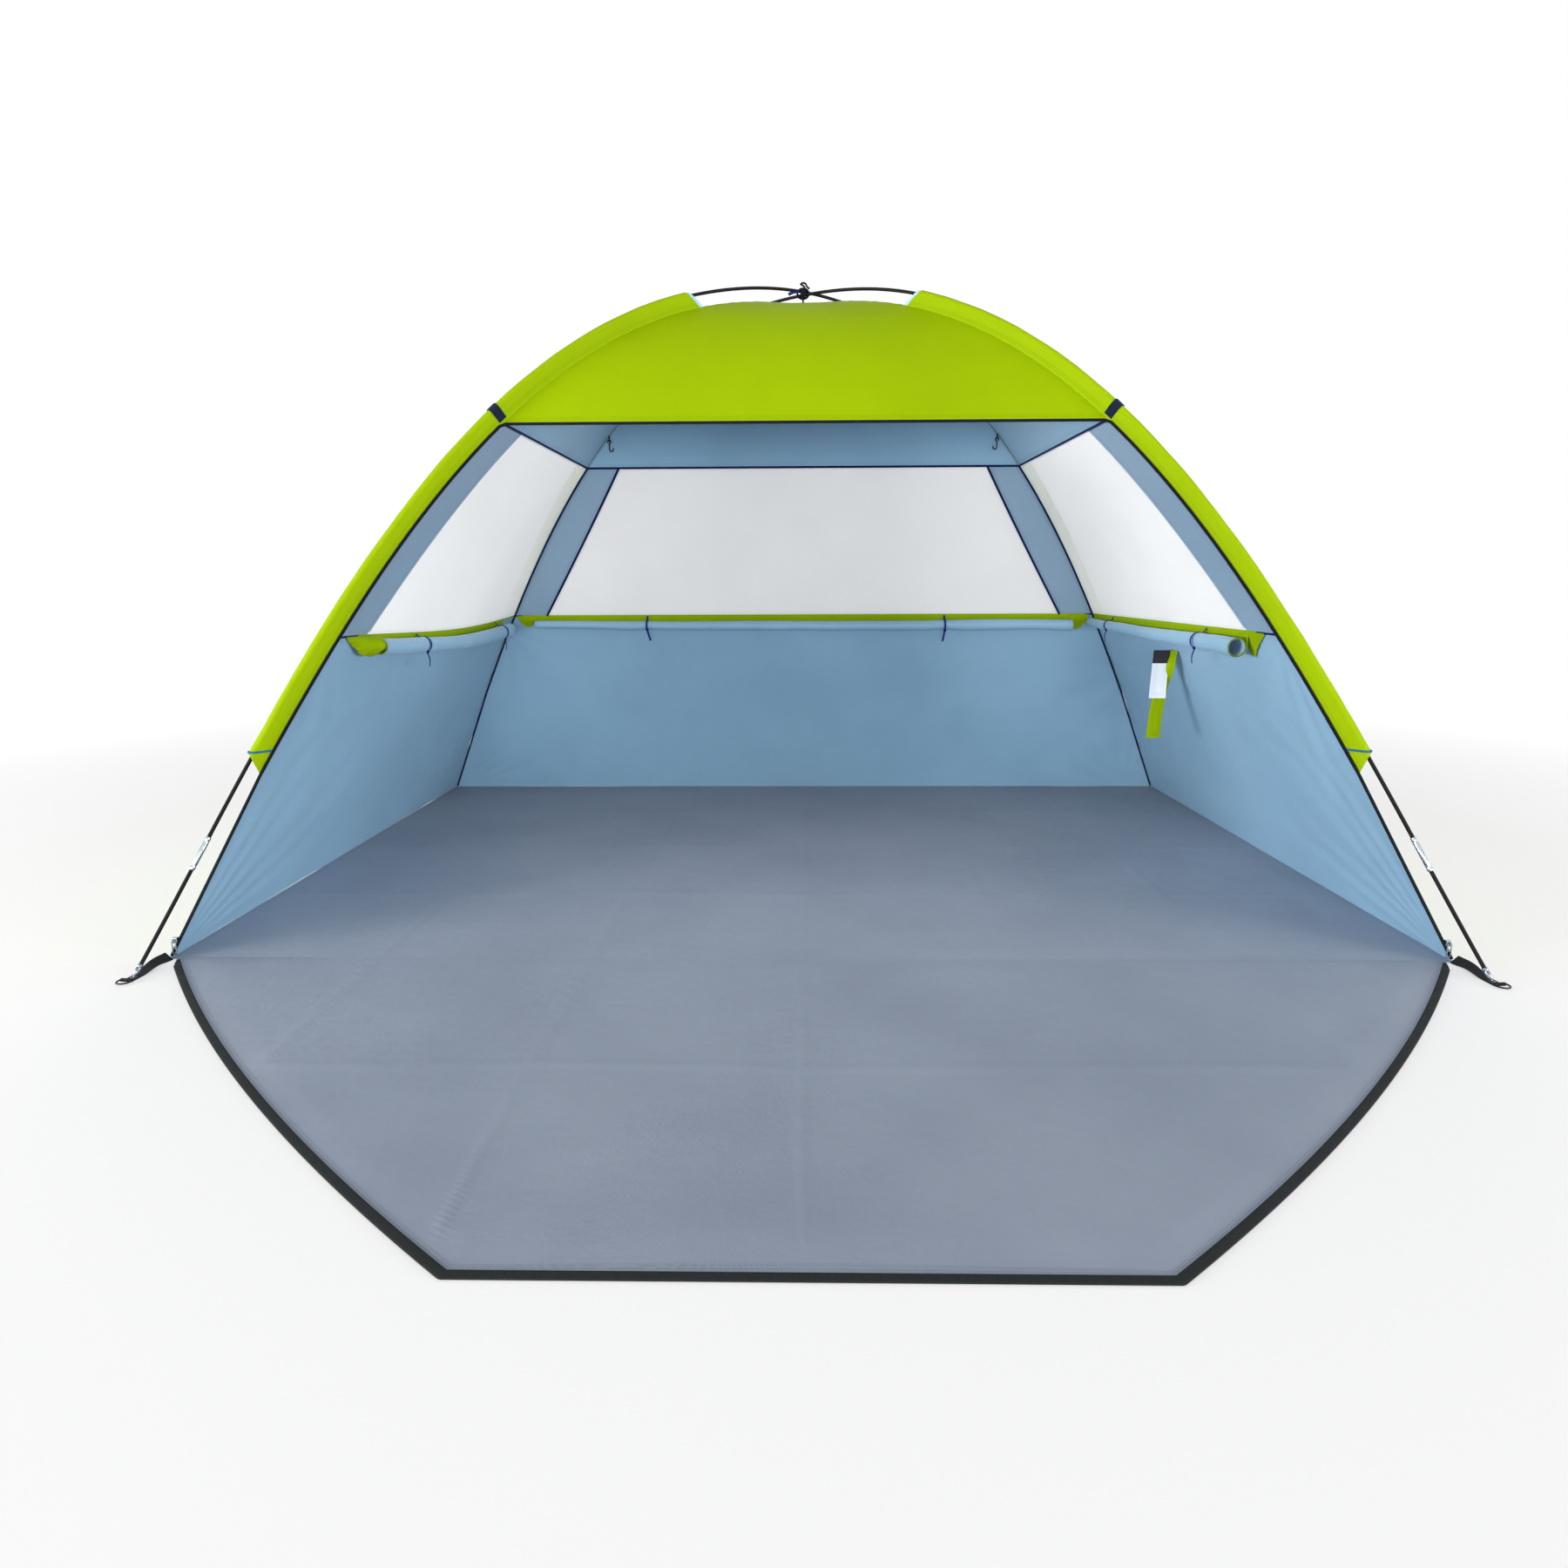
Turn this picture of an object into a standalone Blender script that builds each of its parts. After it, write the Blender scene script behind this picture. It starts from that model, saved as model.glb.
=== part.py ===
"""Beach tent with two crossed poles, an open front and a porch panel laid on the ground.

Metres, +Z up. X runs along the tent's width, the open front faces -Y, and the
origin is the middle of the ground sheet's underside.
"""
import math

import bmesh
import bpy
import numpy as np
from mathutils import Matrix, Vector

# Overall sizes of the pitched tent
FLOOR_WIDTH = 2.400
FLOOR_DEPTH = 1.500
HUB_HEIGHT = 1.353
SILL_HEIGHT = 0.590
HEAD_HEIGHT = 1.010

# Cloth, thickened so that each sheet is a solid
CLOTH = 0.0015
NET_CLOTH = 0.0010
GROUND_CLOTH = 0.0020
SEAM_GAP = 0.0005
TOUCH_GAP = 0.0003
MERGE_DISTANCE = 0.00001

# Poles: a fibreglass rod bent into an arch from corner to opposite corner
POLE_RADIUS = 0.0035
FOOT_REACH = 0.048
FOOT_LEAN = math.radians(57.8)
FOOT_HANDLE = 0.637
HUB_HANDLE = 0.741
PIN_RADIUS = 0.0020
PIN_LENGTH = 0.0034
TIP_RADIUS = 0.0045
TIP_LENGTH = 0.024
STEP_LENGTH = 0.0002
FERRULE_PLACE = 0.235
FERRULE_LENGTH = 0.065
FERRULE_WALL = 0.0010
FERRULE_CLEARANCE = 0.0004
SPLAY_FORWARDS = 0.058
SPLAY_INWARDS = 0.032
SPLAY_REACH = 0.400
SPLAY_POWER = 1.5

# Sleeves that hold the poles against the canopy
SLEEVE_DEPTH = 0.027
SLEEVE_BORE = 0.0070
SLEEVE_WRAP = 115
SLEEVE_START = 0.437
SLEEVE_SLANT = 0.030
SLEEVE_MOUTH_RADIUS = 0.305
TAIL_GAP = 0.0008
TAB_START = 1.255
TAB_WIDTH = 0.020
TAB_CLOTH = 0.0020
TAB_CLEARANCE = 0.0010

# Window frames of cloth between the sill and the head
FRONT_STRIP_SILL = 0.120
FRONT_STRIP_HEAD = 0.132
REAR_STRIP_SILL = 0.105
REAR_STRIP_HEAD = 0.092

# Bound edge of the opening
PIPING_RADIUS = 0.0020
PIPING_START = 0.046

# Porch panel with its bound edge, hinged along the front of the ground sheet
PORCH_REACH = 0.795
PORCH_SIDE_CLEARANCE = 0.012
PORCH_END_WIDTH = 0.748
PORCH_BULGE = 0.036
BAND_WIDTH = 0.016
BAND_THICKNESS = 0.0030
BAND_START = 0.018
BAND_START_WIDTH = 0.005
BAND_FULL_AT = 0.048

# Window covers, rolled up under each sill and held by ties
COVER_CLOTH = 0.0012
COVER_PITCH = 0.0022
COVER_TURNS = 2.25
REAR_ROLL_LEFT_RADIUS = 0.0132
REAR_ROLL_RIGHT_RADIUS = 0.0178
REAR_COVER_SHOW = 0.0135
REAR_ROLL_INSET = 0.070
LEFT_ROLL_FRONT_RADIUS = 0.0165
LEFT_ROLL_REAR_RADIUS = 0.0190
LEFT_COVER_FRONT_SHOW = 0.008
LEFT_COVER_REAR_SHOW = 0.016
LEFT_ROLL_FRONT_INSET = 0.075
LEFT_ROLL_REAR_INSET = 0.110
RIGHT_ROLL_FRONT_RADIUS = 0.0175
RIGHT_ROLL_REAR_RADIUS = 0.0110
RIGHT_COVER_SHOW = 0.015
RIGHT_ROLL_FRONT_INSET = 0.070
RIGHT_ROLL_REAR_INSET = 0.015
TIE_RADIUS = 0.0017
TIE_TAIL = 0.034

# Care label and cover strap that hang from the right sill
STRAP_WIDTH = 0.035
STRAP_LENGTH = 0.228
STRAP_PLACE = 0.024
STRAP_SLANT = 0.011
LABEL_WIDTH = 0.042
LABEL_LENGTH = 0.122
LABEL_INSET = 0.007
HANG_DROP = 0.072
HANG_CLOTH = 0.0012

# Hooks under the roof
HOOK_HEIGHT = 1.090
HOOK_WIRE = 0.0014
HOOK_EYE = 0.0042
HOOK_BEND = 0.0052
HOOK_SHANK = 0.016
HOOK_LIP = 0.004
LOOP_WIRE = 0.0012
LOOP_WIDTH = 0.0088
LOOP_DROP = 0.014

# Corner anchor: webbing with an eyelet for the pole's pin and a ring for a peg
WEB_WIDTH = 0.020
WEB_THICKNESS = 0.0012
WEB_LIFT = 0.004
WEB_HOLE = 0.0033
WEB_OVERHANG = 0.016
CURL_RADIUS = 0.0032
RING_WIRE = 0.0015
RING_CLEARANCE = 0.0005
RING_REACH = 0.017

# Zip slider and its ladder pull at each front corner
SLIDER_SIZE = (0.0100, 0.0085, 0.0110)
SLIDER_HEIGHT = 0.037
SLIDER_OUTSET = 0.0045
SLIDER_EDGE = 0.0012
BAIL_WIRE = 0.0007
BAIL_HOLE = 0.0032
PULL_WIDTH = 0.0090
PULL_LENGTH = 0.0280
PULL_THICKNESS = 0.0012
PULL_RIM = 0.0020

# Cord that ties the crossing of the poles to the canopy
HUB_CORD_RADIUS = 0.0014

# Numbers of facets and steps
ARCH_SAMPLES = 600
SLEEVE_STATIONS = 18
SLEEVE_ARC_STEPS = 6
ROOF_RINGS = 9
ROOF_ACROSS = 6
ROLL_STEPS = 12

HALF_WIDTH = FLOOR_WIDTH / 2
HALF_DEPTH = FLOOR_DEPTH / 2
CORNER_RADIUS = math.hypot(HALF_WIDTH, HALF_DEPTH)
FOOT_RADIUS = CORNER_RADIUS + FOOT_REACH
FOOT_HEIGHT = TOUCH_GAP + PIN_RADIUS * math.cos(FOOT_LEAN)
STACK_LIFT = POLE_RADIUS + TOUCH_GAP / 2


# The pole's arch, as radius from the hub and height

def arch_point(share):
    """Point of the half arch: share 0 at the foot, 1 at the hub."""
    lean = (FOOT_HANDLE * math.cos(FOOT_LEAN), FOOT_HANDLE * math.sin(FOOT_LEAN))
    handles = (
        (FOOT_RADIUS, FOOT_HEIGHT),
        (FOOT_RADIUS - lean[0], FOOT_HEIGHT + lean[1]),
        (HUB_HANDLE, HUB_HEIGHT),
        (0, HUB_HEIGHT),
    )
    rest = 1 - share
    weights = (rest ** 3, 3 * rest ** 2 * share, 3 * rest * share ** 2, share ** 3)
    radius = sum(w * h[0] for w, h in zip(weights, handles))
    height = sum(w * h[1] for w, h in zip(weights, handles))
    return radius, height


def measure_arch():
    """Radius, height and length from the foot, at even steps of the half arch."""
    points = np.array([arch_point(i / ARCH_SAMPLES) for i in range(ARCH_SAMPLES + 1)])
    steps = np.hypot(*np.diff(points, axis=0).T)
    return points[:, 0], points[:, 1], np.concatenate(([0], np.cumsum(steps)))


ARCH_RADII, ARCH_HEIGHTS, ARCH_LENGTHS = measure_arch()
HALF_ARCH = float(ARCH_LENGTHS[-1])


def arch_at(length):
    """Radius and height of the half arch at a length from its foot."""
    radius = float(np.interp(length, ARCH_LENGTHS, ARCH_RADII))
    return radius, float(np.interp(length, ARCH_LENGTHS, ARCH_HEIGHTS))


def arch_tangent(length):
    """Unit tangent of the half arch, towards the hub."""
    reach = HALF_ARCH / ARCH_SAMPLES
    low = max(0, length - reach)
    high = min(HALF_ARCH, length + reach)
    here, there = arch_at(low), arch_at(high)
    run, rise = there[0] - here[0], there[1] - here[1]
    size = math.hypot(run, rise)
    return run / size, rise / size


def length_at_radius(radius):
    """Length along the half arch where it comes in to this radius."""
    return float(np.interp(-radius, -ARCH_RADII, ARCH_LENGTHS))


MOUTH_LENGTH = length_at_radius(SLEEVE_MOUTH_RADIUS)


# The canopy's skin: its four ridges run just inside the poles

def measure_skin():
    """Radius and height of a ridge's inner line, from the floor corner to the apex."""
    first = SLEEVE_START - SLEEVE_SLANT
    radii = [CORNER_RADIUS]
    heights = [0.0]
    for length in np.linspace(first, HALF_ARCH, ARCH_SAMPLES):
        radius, height = arch_at(length)
        run, rise = arch_tangent(length)
        radii.append(max(0.0, radius - rise * SLEEVE_DEPTH))
        heights.append(height + run * SLEEVE_DEPTH)
    radii[-1] = 0.0
    return np.array(radii), np.array(heights)


SKIN_RADII, SKIN_HEIGHTS = measure_skin()
APEX_HEIGHT = float(SKIN_HEIGHTS[-1])


def skin_share(height):
    """How wide the tent is at this height, as a share of its floor."""
    return float(np.interp(height, SKIN_HEIGHTS, SKIN_RADII)) / CORNER_RADIUS


def half_width(height):
    return HALF_WIDTH * skin_share(height)


def half_depth(height):
    return HALF_DEPTH * skin_share(height)


def skin_slope(half_size, height, step):
    """Unit tangent of a face, going up, as (inwards, up)."""
    run = half_size(height - step) - half_size(height + step)
    size = math.hypot(run, 2 * step)
    return run / size, 2 * step / size


# Scene, materials and small helpers

PARTS = None
CUTTERS = None
MATERIALS = {}

MATERIAL_LOOKS = {
    "canopy_green": ((0.37, 0.56, 0.003), 0.75, 0.0),
    "wall_cloth": ((0.19, 0.33, 0.45), 0.80, 0.0),
    "strip_cloth": ((0.19, 0.28, 0.38), 0.80, 0.0),
    "net": ((0.70, 0.70, 0.70), 0.90, 0.0),
    "floor_cloth": ((0.24, 0.28, 0.36), 0.70, 0.0),
    "navy_trim": ((0.005, 0.014, 0.08), 0.60, 0.0),
    "black_webbing": ((0.020, 0.024, 0.024), 0.75, 0.0),
    "black_pole": ((0.012, 0.012, 0.013), 0.35, 0.0),
    "steel": ((0.62, 0.66, 0.67), 0.28, 1.0),
    "black_plastic": ((0.015, 0.015, 0.018), 0.45, 0.0),
    "label_white": ((0.80, 0.82, 0.84), 0.70, 0.0),
}


def clear_scene():
    for found in list(bpy.data.objects):
        bpy.data.objects.remove(found, do_unlink=True)


def make_collection(name):
    made = bpy.data.collections.new(name)
    bpy.context.scene.collection.children.link(made)
    return made


def make_materials():
    for name, (colour, roughness, metallic) in MATERIAL_LOOKS.items():
        material = bpy.data.materials.new(name)
        material.use_nodes = True
        shader = material.node_tree.nodes["Principled BSDF"]
        shader.inputs["Base Color"].default_value = (*colour, 1.0)
        shader.inputs["Roughness"].default_value = roughness
        shader.inputs["Metallic"].default_value = metallic
        MATERIALS[name] = material


def add_object(name, data, material, collection=None):
    made = bpy.data.objects.new(name, data)
    if material:
        data.materials.append(MATERIALS[material])
    (collection or PARTS).objects.link(made)
    return made


def smooth(mesh):
    mesh.shade_smooth()
    mesh.set_sharp_from_angle(angle=math.radians(40))


def parent_to(child, parent):
    """Parent without moving: the child keeps its place in the world."""
    bpy.context.view_layer.update()
    child.parent = parent
    child.matrix_parent_inverse = parent.matrix_world.inverted()


def make_pivot(name, place):
    pivot = bpy.data.objects.new(name, None)
    pivot.location = place
    PARTS.objects.link(pivot)
    return pivot


def grid_mesh(name, place, across, along):
    """Open surface: a grid whose points are moved to place(u, v), both from 0 to 1."""
    work = bmesh.new()
    bmesh.ops.create_grid(work, x_segments=across, y_segments=along, size=0.5)
    for vert in work.verts:
        vert.co = place(vert.co.x + 0.5, vert.co.y + 0.5)
    mesh = bpy.data.meshes.new(name)
    work.to_mesh(mesh)
    work.free()
    return mesh


def add_thickness(made, thickness, towards_normal):
    shell = made.modifiers.new("thickness", "SOLIDIFY")
    shell.thickness = thickness
    shell.offset = 1.0 if towards_normal else -1.0
    shell.use_even_offset = True
    shell.use_quality_normals = True
    return shell


def cloth_panel(name, place, across, along, thickness, material, grow, probe=(0.5, 0.5)):
    """Sheet of cloth: place(u, v) is one face, and the sheet grows towards the vector grow."""
    mesh = grid_mesh(name, place, across, along)
    smooth(mesh)
    made = add_object(name, mesh, material)
    u, v = probe
    reach = 0.01
    side = place(u + reach, v) - place(u - reach, v)
    up = place(u, v + reach) - place(u, v - reach)
    add_thickness(made, thickness, side.cross(up).dot(grow) > 0)
    return made


def tube_curve(name, points, radius, material, cyclic=False, radii=None, resolution=2):
    """Round tube along the points, with filled ends."""
    curve = bpy.data.curves.new(name, "CURVE")
    curve.dimensions = "3D"
    curve.bevel_depth = radius
    curve.bevel_resolution = resolution
    curve.use_fill_caps = not cyclic
    spline = curve.splines.new("POLY")
    spline.points.add(len(points) - 1)
    for i, point in enumerate(points):
        spline.points[i].co = (*point, 1.0)
        spline.points[i].radius = radii[i] / radius if radii else 1.0
    spline.use_cyclic_u = cyclic
    return add_object(name, curve, material)


def flat_plate(name, outlines, thickness, material, collection=None):
    """Flat outline with its holes, in the XY plane, thickened both ways."""
    curve = bpy.data.curves.new(name, "CURVE")
    curve.dimensions = "2D"
    curve.fill_mode = "BOTH"
    curve.extrude = thickness / 2
    for outline in outlines:
        spline = curve.splines.new("POLY")
        spline.points.add(len(outline) - 1)
        for i, (x, y) in enumerate(outline):
            spline.points[i].co = (x, y, 0, 1)
        spline.use_cyclic_u = True
    return add_object(name, curve, material, collection)


def turned(name, profile, segments, material, collection=None):
    """Closed ring profile of (radius, height) points, turned about Z."""
    mesh = bpy.data.meshes.new(name)
    verts = [(radius, 0, height) for radius, height in profile]
    count = len(verts)
    edges = [(i, (i + 1) % count) for i in range(count)]
    mesh.from_pydata(verts, edges, [])
    made = add_object(name, mesh, material, collection)
    screw = made.modifiers.new("turn", "SCREW")
    screw.angle = math.tau
    screw.steps = segments
    screw.render_steps = segments
    screw.use_merge_vertices = True
    screw.merge_threshold = MERGE_DISTANCE
    screw.use_smooth_shade = True
    return made


def box_object(name, size, material, collection=None):
    work = bmesh.new()
    bmesh.ops.create_cube(work, size=1.0)
    bmesh.ops.scale(work, vec=size, verts=work.verts)
    mesh = bpy.data.meshes.new(name)
    work.to_mesh(mesh)
    work.free()
    return add_object(name, mesh, material, collection)


def make_cutter(name, radius, depth):
    """Cylinder about Z that only cuts."""
    work = bmesh.new()
    bmesh.ops.create_cone(
        work, cap_ends=True, segments=20, radius1=radius, radius2=radius, depth=depth)
    mesh = bpy.data.meshes.new(name)
    work.to_mesh(mesh)
    work.free()
    cutter = add_object(name, mesh, None, CUTTERS)
    cutter.hide_render = True
    cutter.display_type = "WIRE"
    return cutter


def combine(made, tool, operation):
    step = made.modifiers.new(operation.lower(), "BOOLEAN")
    step.operation = operation
    step.solver = "EXACT"
    step.object = tool
    return step


def curve_to_mesh(made):
    """Turn a curve object into a welded mesh object of the same name and place."""
    bpy.context.view_layer.update()
    graph = bpy.context.evaluated_depsgraph_get()
    mesh = bpy.data.meshes.new_from_object(made.evaluated_get(graph))
    work = bmesh.new()
    work.from_mesh(mesh)
    bmesh.ops.remove_doubles(work, verts=work.verts, dist=MERGE_DISTANCE)
    work.to_mesh(mesh)
    work.free()
    name = made.name
    matrix = made.matrix_world.copy()
    collection = made.users_collection[0]
    hidden = made.hide_render
    bpy.data.objects.remove(made, do_unlink=True)
    solid = bpy.data.objects.new(name, mesh)
    solid.matrix_world = matrix
    solid.hide_render = hidden
    collection.objects.link(solid)
    return solid


def blend(low, high, share):
    return low + (high - low) * share


def rounded_corner(centre, radius, start, end, steps):
    """Points of an arc in a plane, from angle start to end, both in degrees."""
    points = []
    for i in range(steps + 1):
        angle = math.radians(blend(start, end, i / steps))
        points.append((centre[0] + radius * math.cos(angle), centre[1] + radius * math.sin(angle)))
    return points


def slot_outline(centre, length, width, steps=4):
    """Slot with round ends, longer along X where length is more than width."""
    radius = width / 2
    reach = length / 2 - radius
    right = rounded_corner((centre[0] + reach, centre[1]), radius, -90, 90, steps)
    left = rounded_corner((centre[0] - reach, centre[1]), radius, 90, 270, steps)
    return right + left


# Corners are named by their place: side -1 left or 1 right, end -1 front or 1 rear

CORNERS = {
    "front_left": (-1, -1),
    "front_right": (1, -1),
    "rear_left": (-1, 1),
    "rear_right": (1, 1),
}


def corner_axes(side, end):
    """Unit vectors of a corner's ridge plane: outwards along the diagonal, and across it."""
    outwards = Vector((side * HALF_WIDTH, end * HALF_DEPTH, 0)) / CORNER_RADIUS
    across = Vector((-outwards.y, outwards.x, 0))
    return outwards, across


# Ground sheet and walls

def build_floor():
    sheet = box_object("floor_sheet", (FLOOR_WIDTH, FLOOR_DEPTH, GROUND_CLOTH), "floor_cloth")
    sheet.location = (0, 0, GROUND_CLOTH / 2)


def build_walls():
    low = GROUND_CLOTH + TOUCH_GAP
    high = SILL_HEIGHT - SEAM_GAP / 2

    def rear(u, v):
        height = blend(low, high, v)
        reach = half_width(height) - SEAM_GAP
        return Vector((blend(-reach, reach, u), half_depth(height), height))

    cloth_panel("rear_wall", rear, 4, 6, CLOTH, "wall_cloth", Vector((0, 1, 0)))
    for name, side in (("left_wall", -1), ("right_wall", 1)):

        def flank(u, v, side=side):
            height = blend(low, high, v)
            reach = half_depth(height) - SEAM_GAP
            return Vector((side * half_width(height), blend(-reach, reach, u), height))

        cloth_panel(name, flank, 4, 6, CLOTH, "wall_cloth", Vector((side, 0, 0)))


# Cloth strips beside the windows, and the net of the windows

def window_share(height):
    return (height - SILL_HEIGHT) / (HEAD_HEIGHT - SILL_HEIGHT)


def front_strip_edge(height):
    """Y of the line between a front strip and the side window: straight from sill to head."""
    at_sill = half_depth(SILL_HEIGHT) - FRONT_STRIP_SILL
    at_head = half_depth(HEAD_HEIGHT) - FRONT_STRIP_HEAD
    return -blend(at_sill, at_head, window_share(height))


def rear_strip_edge(height):
    """X of the line between a rear corner strip and the rear window."""
    at_sill = half_width(SILL_HEIGHT) - REAR_STRIP_SILL
    at_head = half_width(HEAD_HEIGHT) - REAR_STRIP_HEAD
    return blend(at_sill, at_head, window_share(height))


def build_window_band():
    low = SILL_HEIGHT + SEAM_GAP / 2
    high = HEAD_HEIGHT - SEAM_GAP / 2
    half_seam = SEAM_GAP / 2
    for name, side in (("left", -1), ("right", 1)):
        outwards = Vector((side, 0, 0))

        def front_strip(u, v, side=side):
            height = blend(low, high, v)
            y = blend(SEAM_GAP - half_depth(height), front_strip_edge(height) - half_seam, u)
            return Vector((side * half_width(height), y, height))

        def side_net(u, v, side=side):
            height = blend(low, high, v)
            y = blend(front_strip_edge(height) + half_seam, half_depth(height) - SEAM_GAP, u)
            return Vector((side * half_width(height), y, height))

        def rear_strip(u, v, side=side):
            height = blend(low, high, v)
            inner = rear_strip_edge(height) + half_seam
            x = blend(inner, half_width(height) - SEAM_GAP, u)
            return Vector((side * x, half_depth(height), height))

        cloth_panel(name + "_front_strip", front_strip, 2, 8, CLOTH, "strip_cloth", outwards)
        cloth_panel(name + "_window_net", side_net, 4, 8, NET_CLOTH, "net", outwards)
        cloth_panel(
            name + "_rear_strip", rear_strip, 2, 8, CLOTH, "strip_cloth", Vector((0, 1, 0)))

    def rear_net(u, v):
        height = blend(low, high, v)
        reach = rear_strip_edge(height) - half_seam
        return Vector((blend(-reach, reach, u), half_depth(height), height))

    cloth_panel("rear_window_net", rear_net, 6, 8, NET_CLOTH, "net", Vector((0, 1, 0)))


# Roof: four curved faces that meet at the ridges, in one sheet

def roof_height(share):
    """Height at a share of the way along the ridge, from the head seam to the apex."""
    low = float(np.interp(HEAD_HEIGHT, SKIN_HEIGHTS, np.arange(len(SKIN_HEIGHTS))))
    place = blend(low, len(SKIN_HEIGHTS) - 1, share)
    return float(np.interp(place, np.arange(len(SKIN_HEIGHTS)), SKIN_HEIGHTS))


RING_HEIGHTS = [roof_height(i / ROOF_RINGS) for i in range(ROOF_RINGS + 1)]


def roof_under(half_size, reach):
    """Height of the roof's inner face at this reach from the middle, on its facets."""
    sizes = [-half_size(height) for height in RING_HEIGHTS]
    return float(np.interp(-reach, sizes, RING_HEIGHTS))


def build_roof():
    work = bmesh.new()
    for turn in range(4):
        before = set(work.verts)
        bmesh.ops.create_grid(work, x_segments=ROOF_ACROSS, y_segments=ROOF_RINGS, size=0.5)
        for vert in [v for v in work.verts if v not in before]:
            height = roof_height(vert.co.y + 0.5)
            across = 2 * vert.co.x
            width, depth = half_width(height), half_depth(height)
            if turn % 2:
                width, depth = depth, width
            point = Vector((across * width, -depth, height))
            vert.co = Matrix.Rotation(turn * math.pi / 2, 3, "Z") @ point
    bmesh.ops.remove_doubles(work, verts=work.verts, dist=MERGE_DISTANCE)
    bmesh.ops.recalc_face_normals(work, faces=work.faces)
    if sum(face.normal.z for face in work.faces) < 0:
        bmesh.ops.reverse_faces(work, faces=work.faces)
    mesh = bpy.data.meshes.new("canopy_roof")
    work.to_mesh(mesh)
    work.free()
    smooth(mesh)
    add_thickness(add_object("canopy_roof", mesh, "canopy_green"), CLOTH, True)


# Sleeves: a folded strip round the pole, with its tail sewn to the ridge

def sleeve_section(around, bore, tail_depth, tail_half):
    """Offsets (outwards, across) of the folded strip, from one tail over the pole to the other.

    The third value is how deep the point lies: 0 at the crown, 1 at the tail.
    """
    if around < 1 / (SLEEVE_ARC_STEPS + 2) or around > 1 - 1 / (SLEEVE_ARC_STEPS + 2):
        side = 1 if around < 0.5 else -1
        edge = min(around, 1 - around) * (SLEEVE_ARC_STEPS + 2)
        wrap = math.radians(SLEEVE_WRAP)
        start = (-tail_depth, side * tail_half)
        end = (bore * math.cos(wrap), side * bore * math.sin(wrap))
        out = blend(start[0], end[0], edge)
        return out, blend(start[1], end[1], edge), (bore - out) / (bore + tail_depth)
    share = (around * (SLEEVE_ARC_STEPS + 2) - 1) / SLEEVE_ARC_STEPS
    angle = math.radians(blend(SLEEVE_WRAP, -SLEEVE_WRAP, share))
    out = bore * math.cos(angle)
    return out, bore * math.sin(angle), (bore - out) / (bore + tail_depth)


def sleeve_strip(name, corner, start, end, slant, bore, tail_depth, thickness, material, stations):
    side, rear = CORNERS[corner]
    outwards, across = corner_axes(side, rear)
    tail_half = TAIL_GAP / 2 + (bore - SLEEVE_BORE)

    def place(u, v):
        out, sideways, depth = sleeve_section(u, bore, tail_depth, tail_half)
        length = blend(start - slant * depth, end + slant * depth, v)
        radius, height = arch_at(length)
        run, rise = arch_tangent(length)
        centre = outwards * (radius + rise * out) + across * sideways
        centre.z = height - run * out
        return centre

    run, rise = arch_tangent(blend(start, end, 0.5))
    crown = outwards * rise + Vector((0, 0, -run))
    return cloth_panel(
        name, place, SLEEVE_ARC_STEPS + 2, stations, thickness, material, crown)


RIDGE_CLEARANCE = 1.6 * CLOTH + TOUCH_GAP
TAIL_DEPTH = SLEEVE_DEPTH - RIDGE_CLEARANCE


def build_sleeves():
    for corner in CORNERS:
        sleeve_strip(
            corner + "_sleeve", corner, SLEEVE_START, MOUTH_LENGTH, SLEEVE_SLANT,
            SLEEVE_BORE, TAIL_DEPTH, CLOTH, "canopy_green", SLEEVE_STATIONS)
    tab_bore = SLEEVE_BORE + CLOTH + TAB_CLEARANCE
    tab_depth = TAIL_DEPTH - CLOTH
    for corner in ("front_left", "front_right"):
        sleeve_strip(
            corner + "_tab", corner, TAB_START, TAB_START + TAB_WIDTH, 0,
            tab_bore, tab_depth, TAB_CLOTH, "navy_trim", 2)


# Bound edge round the front opening

PIPING_OFFSET = TAIL_GAP / 2 + CLOTH + TOUCH_GAP + PIPING_RADIUS


def opening_edge_point(side, height):
    """Centre of the bound edge beside the front ridge of one side."""
    _, across = corner_axes(side, -1)
    inwards = across if across.x * side < 0 else -across
    corner = Vector((side * half_width(height), -half_depth(height), height))
    return corner + inwards * PIPING_OFFSET


def build_piping():
    heights = np.linspace(PIPING_START, HEAD_HEIGHT - 3 * PIPING_RADIUS, 15)
    left = [opening_edge_point(-1, height) for height in heights]
    inwards, up = skin_slope(half_depth, HEAD_HEIGHT, CLOTH)
    drop = PIPING_RADIUS + TOUCH_GAP
    y = -half_depth(HEAD_HEIGHT) - inwards * drop - up * CLOTH / 2
    z = HEAD_HEIGHT - up * drop + inwards * CLOTH / 2
    reach = half_width(HEAD_HEIGHT) - 3 * PIPING_RADIUS
    visor = [Vector((x, y, z)) for x in np.linspace(-reach, reach, 9)]
    right = [Vector((-p.x, p.y, p.z)) for p in reversed(left)]
    tube_curve("opening_piping", left + visor + right, PIPING_RADIUS, "navy_trim")


# Porch panel: it lies in front of the tent and folds up to close the opening

def porch_side(share):
    """Right side of the porch panel, from the hinge line forwards: x and distance forwards."""
    start = (HALF_WIDTH - PORCH_SIDE_CLEARANCE, 0)
    end = (PORCH_END_WIDTH / 2, PORCH_REACH)
    run, rise = end[0] - start[0], end[1] - start[1]
    size = math.hypot(run, rise)
    middle = ((start[0] + end[0]) / 2 + 2 * PORCH_BULGE * rise / size,
              (start[1] + end[1]) / 2 - 2 * PORCH_BULGE * run / size)
    rest = 1 - share
    weights = (rest ** 2, 2 * rest * share, share ** 2)
    x = sum(w * p[0] for w, p in zip(weights, (start, middle, end)))
    forwards = sum(w * p[1] for w, p in zip(weights, (start, middle, end)))
    return x, forwards


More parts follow.
